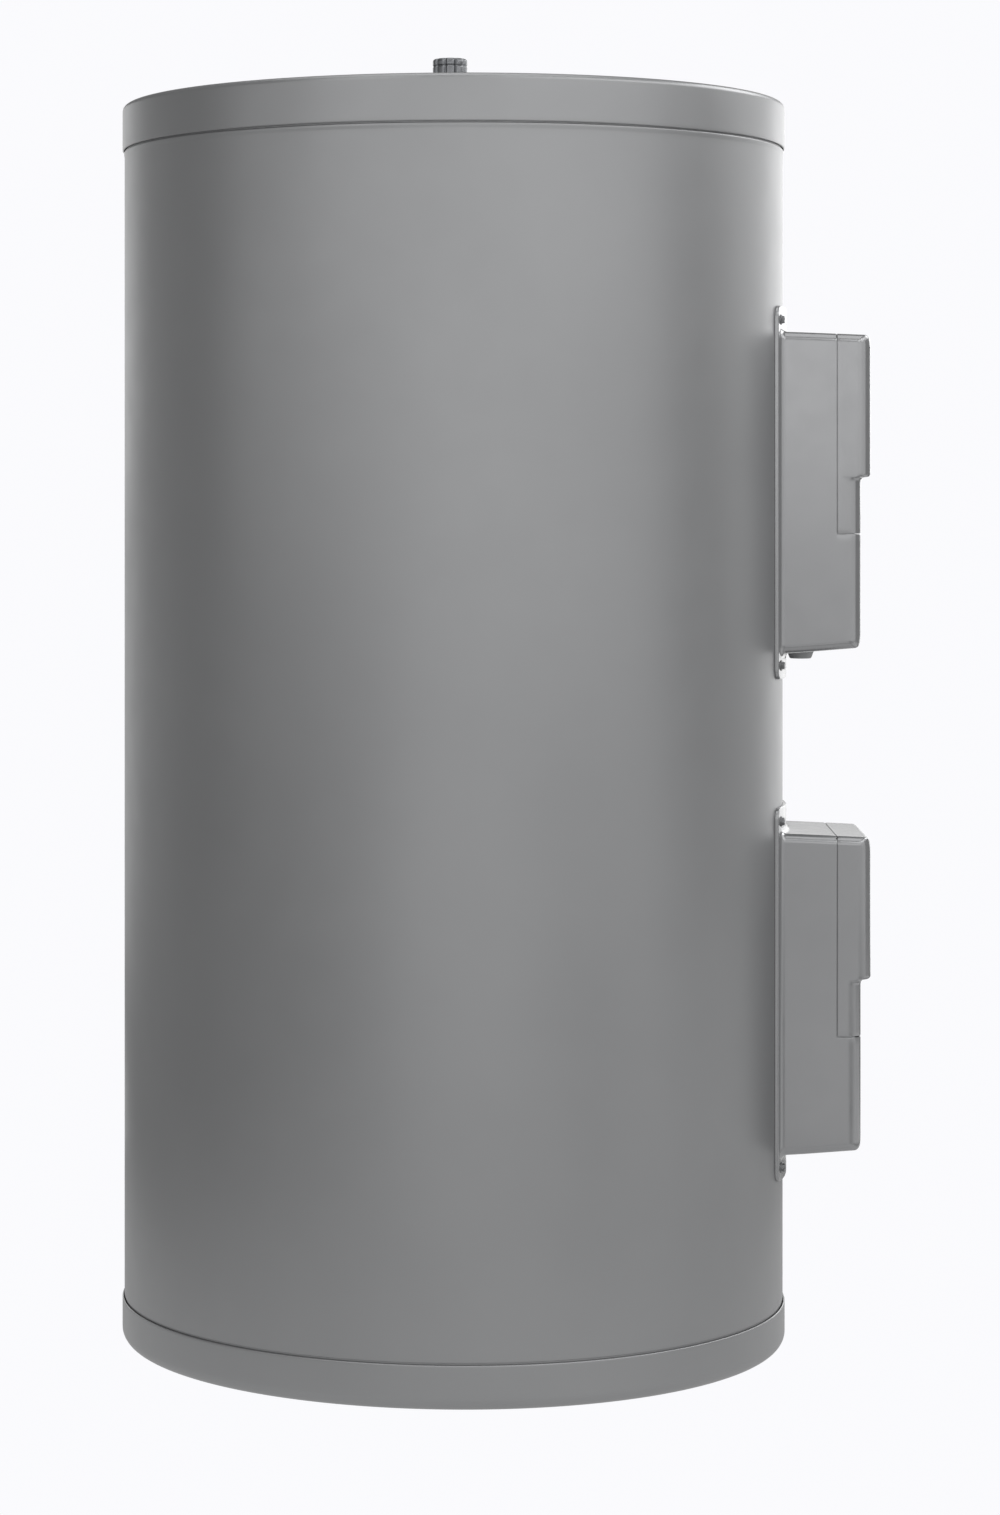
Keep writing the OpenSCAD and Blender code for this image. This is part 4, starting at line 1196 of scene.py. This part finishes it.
def make_grommets():
    shape = Shape()
    for z, turn in ((RELIEF_Z, 0.0), (DRAIN_Z, DRAIN_TURN)):
        rows = [(14, 0.2), (14.4, 2.2), (18, 3.0), (24, 2.8), (27.6, 2.2), (28.8, 1.3), (29, 0.4)]
        sides = 72
        skin, back = [], []
        for radius, lift in rows:
            for k in range(sides):
                a = 2 * math.pi * k / sides
                u, v = radius * math.cos(a), radius * math.sin(a)
                depth = math.sqrt((JACKET_R + 0.2) ** 2 - u * u)
                skin.append(Vector((u, v, depth + lift)))
                back.append(Vector((u, v, depth)))
        place = side_valve(z, turn)
        shape.add(thicken(skin, back, grid(len(rows), sides)), place)
        shape.add(washer(21.4, 13.6, 297, 304), place)
    make_piece("valve_grommet_pair", shape, "dark_plastic", nodes=["valve_grommets"])


def outlet(out):
    """Places a shape with its Z pointing down from a valve's axis, at a distance along it."""
    return Matrix.Translation((0, 0, out)) @ Matrix.Rotation(math.radians(-90), 4, "X")


def shank(bore):
    """Profile of a valve's threaded end."""
    return ([(bore, 252), (12.2, 252)] + turned_grooves(PIPE_R, 253, 268, 1.8, 0.9)
            + [(PIPE_R, 270), (PIPE_R, 317)])


def make_relief_valve():
    place = side_valve(RELIEF_Z)
    body = Shape()
    body.add(turned(shank(8) + [(14, 318), (14, 330), (8, 330)], 48), place)
    body.add(stack(flats(6, 34, 1.0), [(316, 1.4), (317.2, 0.2), (318, 0), (324, 0), (325, 0.2), (326, 1.2)],
                   17),
             place)
    barrel = [(8, 326), (18.5, 326), (19.6, 327), (20, 328.4), (20, 333), (19.3, 334), (19.3, 352),
              (20, 353.2),
              (20, 357), (19.4, 358.3), (18.4, 358.6), (15, 358.6), (15, 346), (14, 346), (14, 332), (8, 332)]
    body.add(turned(barrel, 72), place)
    spout = [(10, 2), (16.2, 2), (16.5, 4), (16.5, 28.4), (17.4, 29.6), (18, 31), (18, 44.6), (17.4, 45.6),
             (16.6, 46), (12.8, 46), (12.1, 45.3), (12.1, 20.2), (10, 20)]
    body.add(turned(spout, 72), place @ outlet(342))
    make_piece("relief_valve_body", body, "valve_brass", nodes=["relief_body"])
    bonnet = Shape()
    bonnet.add(turned([(11, 346.4), (14.8, 346.4), (14.8, 359.2), (11, 359.2)], 48), place)
    bonnet.add(stack_ring(flats(6, 32, 1.0), [(358.7, 1.0), (359.6, 0), (363.8, 0), (364.6, 0.9)], 16, 11),
               place)
    dome = [(11, 364), (14, 364), (14, 386), (13.6, 390), (12.4, 393), (10.4, 394.7), (8, 395), (3.1, 395),
            (3.1, 392), (11, 391.8)]
    bonnet.add(turned(dome, 64), place)
    make_piece("relief_valve_bonnet", bonnet, "valve_brass", nodes=["relief_bonnet"])


def stack_ring(outline, levels, half, bore):
    """Prism with a round bore through it."""
    solid = Shape().add(stack(outline, levels, half))
    low, high = levels[0][0] - 1, levels[-1][0] + 1
    cut = carve(solid, Shape().add(lathe([(0, low), (bore, low), (bore, high), (0, high)], 48)))
    return cut.part


def make_relief_lever():
    """Bent test lever: two cam cheeks joined by a dished handle with a hole for a chain."""
    pin, lift, cam = 400.0, 4.0, 8.7
    shape = Shape()
    cross = Matrix.Rotation(math.radians(90), 4, "Y")
    for side in (-1, 1):
        shape.add(washer(cam, 1.6, -1, 1, 0.3, 56), at(side * 4.4, 0, pin + lift - 0.1) @ cross)
        shape.add(block((side * 4.4 - 1, -46, pin + 4.6), (side * 4.4 + 1, -4, pin + 9), 0.35))
    handle = rounded([(-8, -54, 7.5), (8, -54, 7.5), (8, -12, 3), (-8, -12, 3)], 6)
    plate = Shape().add(stack(handle, [(pin + 8, 0.4), (pin + 8.3, 0), (pin + 9.7, 0), (pin + 10, 0.4)]))
    hole = Shape().add(lathe([(0, pin), (3.2, pin), (3.2, pin + 20), (0, pin + 20)], 32), at(0, -46, 0))
    plate = carve(plate, hole)
    shape.add(plate.part)
    placed = shape.placed(side_valve(RELIEF_Z))
    make_piece("relief_test_lever", placed, "spring_steel", "relief_lever",
               ["relief_lever"])


def make_drain_valve():
    place = side_valve(DRAIN_Z, DRAIN_TURN)
    body = Shape()
    body.add(turned(shank(7.5) + [(13.4, 318), (13.4, 328), (7.5, 328)], 48), place)
    body.add(stack(flats(6, 30, 1.0), [(316, 1.3), (317.2, 0.2), (318, 0), (324, 0), (325, 0.2), (326, 1.2)],
                   15),
             place)
    barrel = [(7.5, 325), (14, 325), (15, 326.4), (15, 352.8), (15.6, 353.4), (15.6, 355.4), (15, 356),
              (11, 356),
              (11, 330), (7.5, 330)]
    body.add(turned(barrel, 64), place)
    spout = [(9, 8), (11.6, 8), (12, 10), (12, 27.4), (13.4, 28.2)] + turned_grooves(13.4, 29, 43, 2.2, 0.9)
    spout += [(12.2, 44), (9.6, 44), (9, 43.4)]
    body.add(turned(spout, 64), place @ outlet(341))
    make_piece("drain_valve_body", body, "valve_brass", nodes=["drain_body"])
    bonnet = Shape()
    bonnet.add(turned([(3.6, 349), (10.8, 349), (10.8, 357), (3.6, 357)], 40), place)
    bonnet.add(stack_ring(flats(6, 27, 0.9), [(356.1, 0.9), (357, 0), (364.6, 0), (366, 1.2)], 13.5, 3.6),
               place)
    make_piece("drain_valve_bonnet", bonnet, "valve_brass", nodes=["drain_bonnet"])
    wheel = Shape()
    rim, lobes = 168, 6
    verts, sides = [], 20
    for i in range(rim):
        a = 2 * math.pi * i / rim
        centre = 24 + 0.9 * math.cos(lobes * a)
        for k in range(sides):
            b = 2 * math.pi * k / sides
            r = centre - 0.9 + 3.9 * math.cos(b)
            verts.append((r * math.cos(a), r * math.sin(a), 380 + 3.9 * math.sin(b)))
    faces = [[i * sides + k, (i + 1) % rim * sides + k, (i + 1) % rim * sides + (k + 1) % sides,
              i * sides + (k + 1) % sides] for i in range(rim) for k in range(sides)]
    wheel.add((verts, faces), place)
    wheel.add(turned([(3.6, 374), (7.4, 374), (8, 374.6), (8, 385), (7.5, 385.9), (3.6, 385.9)], 48), place)
    for k in range(4):
        turn = Matrix.Rotation(math.radians(90 * k), 4, "Z")
        wheel.add(block((6.6, -2.5, 377.4), (22.4, 2.5, 382.4), 1.1, 3), place @ turn)
    make_piece("drain_wheel_moulding", wheel, "dark_plastic", "drain_wheel",
               ["drain_handwheel"], sharp=45)
    screw = Shape().add(lathe([(0, 386), (5.8, 386), (6, 386.3), (5.8, 387.8), (5, 388.6), (3.2, 389),
                               (0, 389)], 40))
    screw = carve(screw, Shape().add(block((-8, -0.7, 388), (8, 0.7, 391), 0.1, 1)))
    make_piece("wheel_slotted_screw", screw.placed(place), "screw_zinc", "drain_wheel", ["handwheel_screw"])


make_grommets()
make_relief_valve()
make_relief_lever()
make_drain_valve()


# ---------- panels kept off the boxes ----------

def spare_boxes():
    """Keeps the panels beside the boxes off them, so that their far edges stay dark."""
    spared = bpy.data.collections.new("spared_boxes")
    for level in ("upper", "lower"):
        for part in ("base", "cover"):
            spared.objects.link(bpy.data.objects[f"{level}_box_{part}_moulding"])
    for entry in spared.collection_objects:
        entry.light_linking.link_state = "EXCLUDE"
    for tier in ("low", "mid"):
        for azimuth in TIERS[tier][1]:
            if 90 <= abs(azimuth) < 150:
                light = bpy.data.objects[f"{tier}_{azimuth % 360}"]
                light.light_linking.receiver_collection = spared


spare_boxes()


# ---------- CAD nodes that keep their own shape ----------

def slot_of(node):
    """The material slot that the record gives a node."""
    return next(part["material_slot"] for part in frame["record"]["subparts"] if part["node"] == node)


def dress_cad_nodes():
    for name, obj in frame["nodes"].items():
        for holder in obj.material_slots:
            holder.material = LOOKS[slot_of(name)]


dress_cad_nodes()
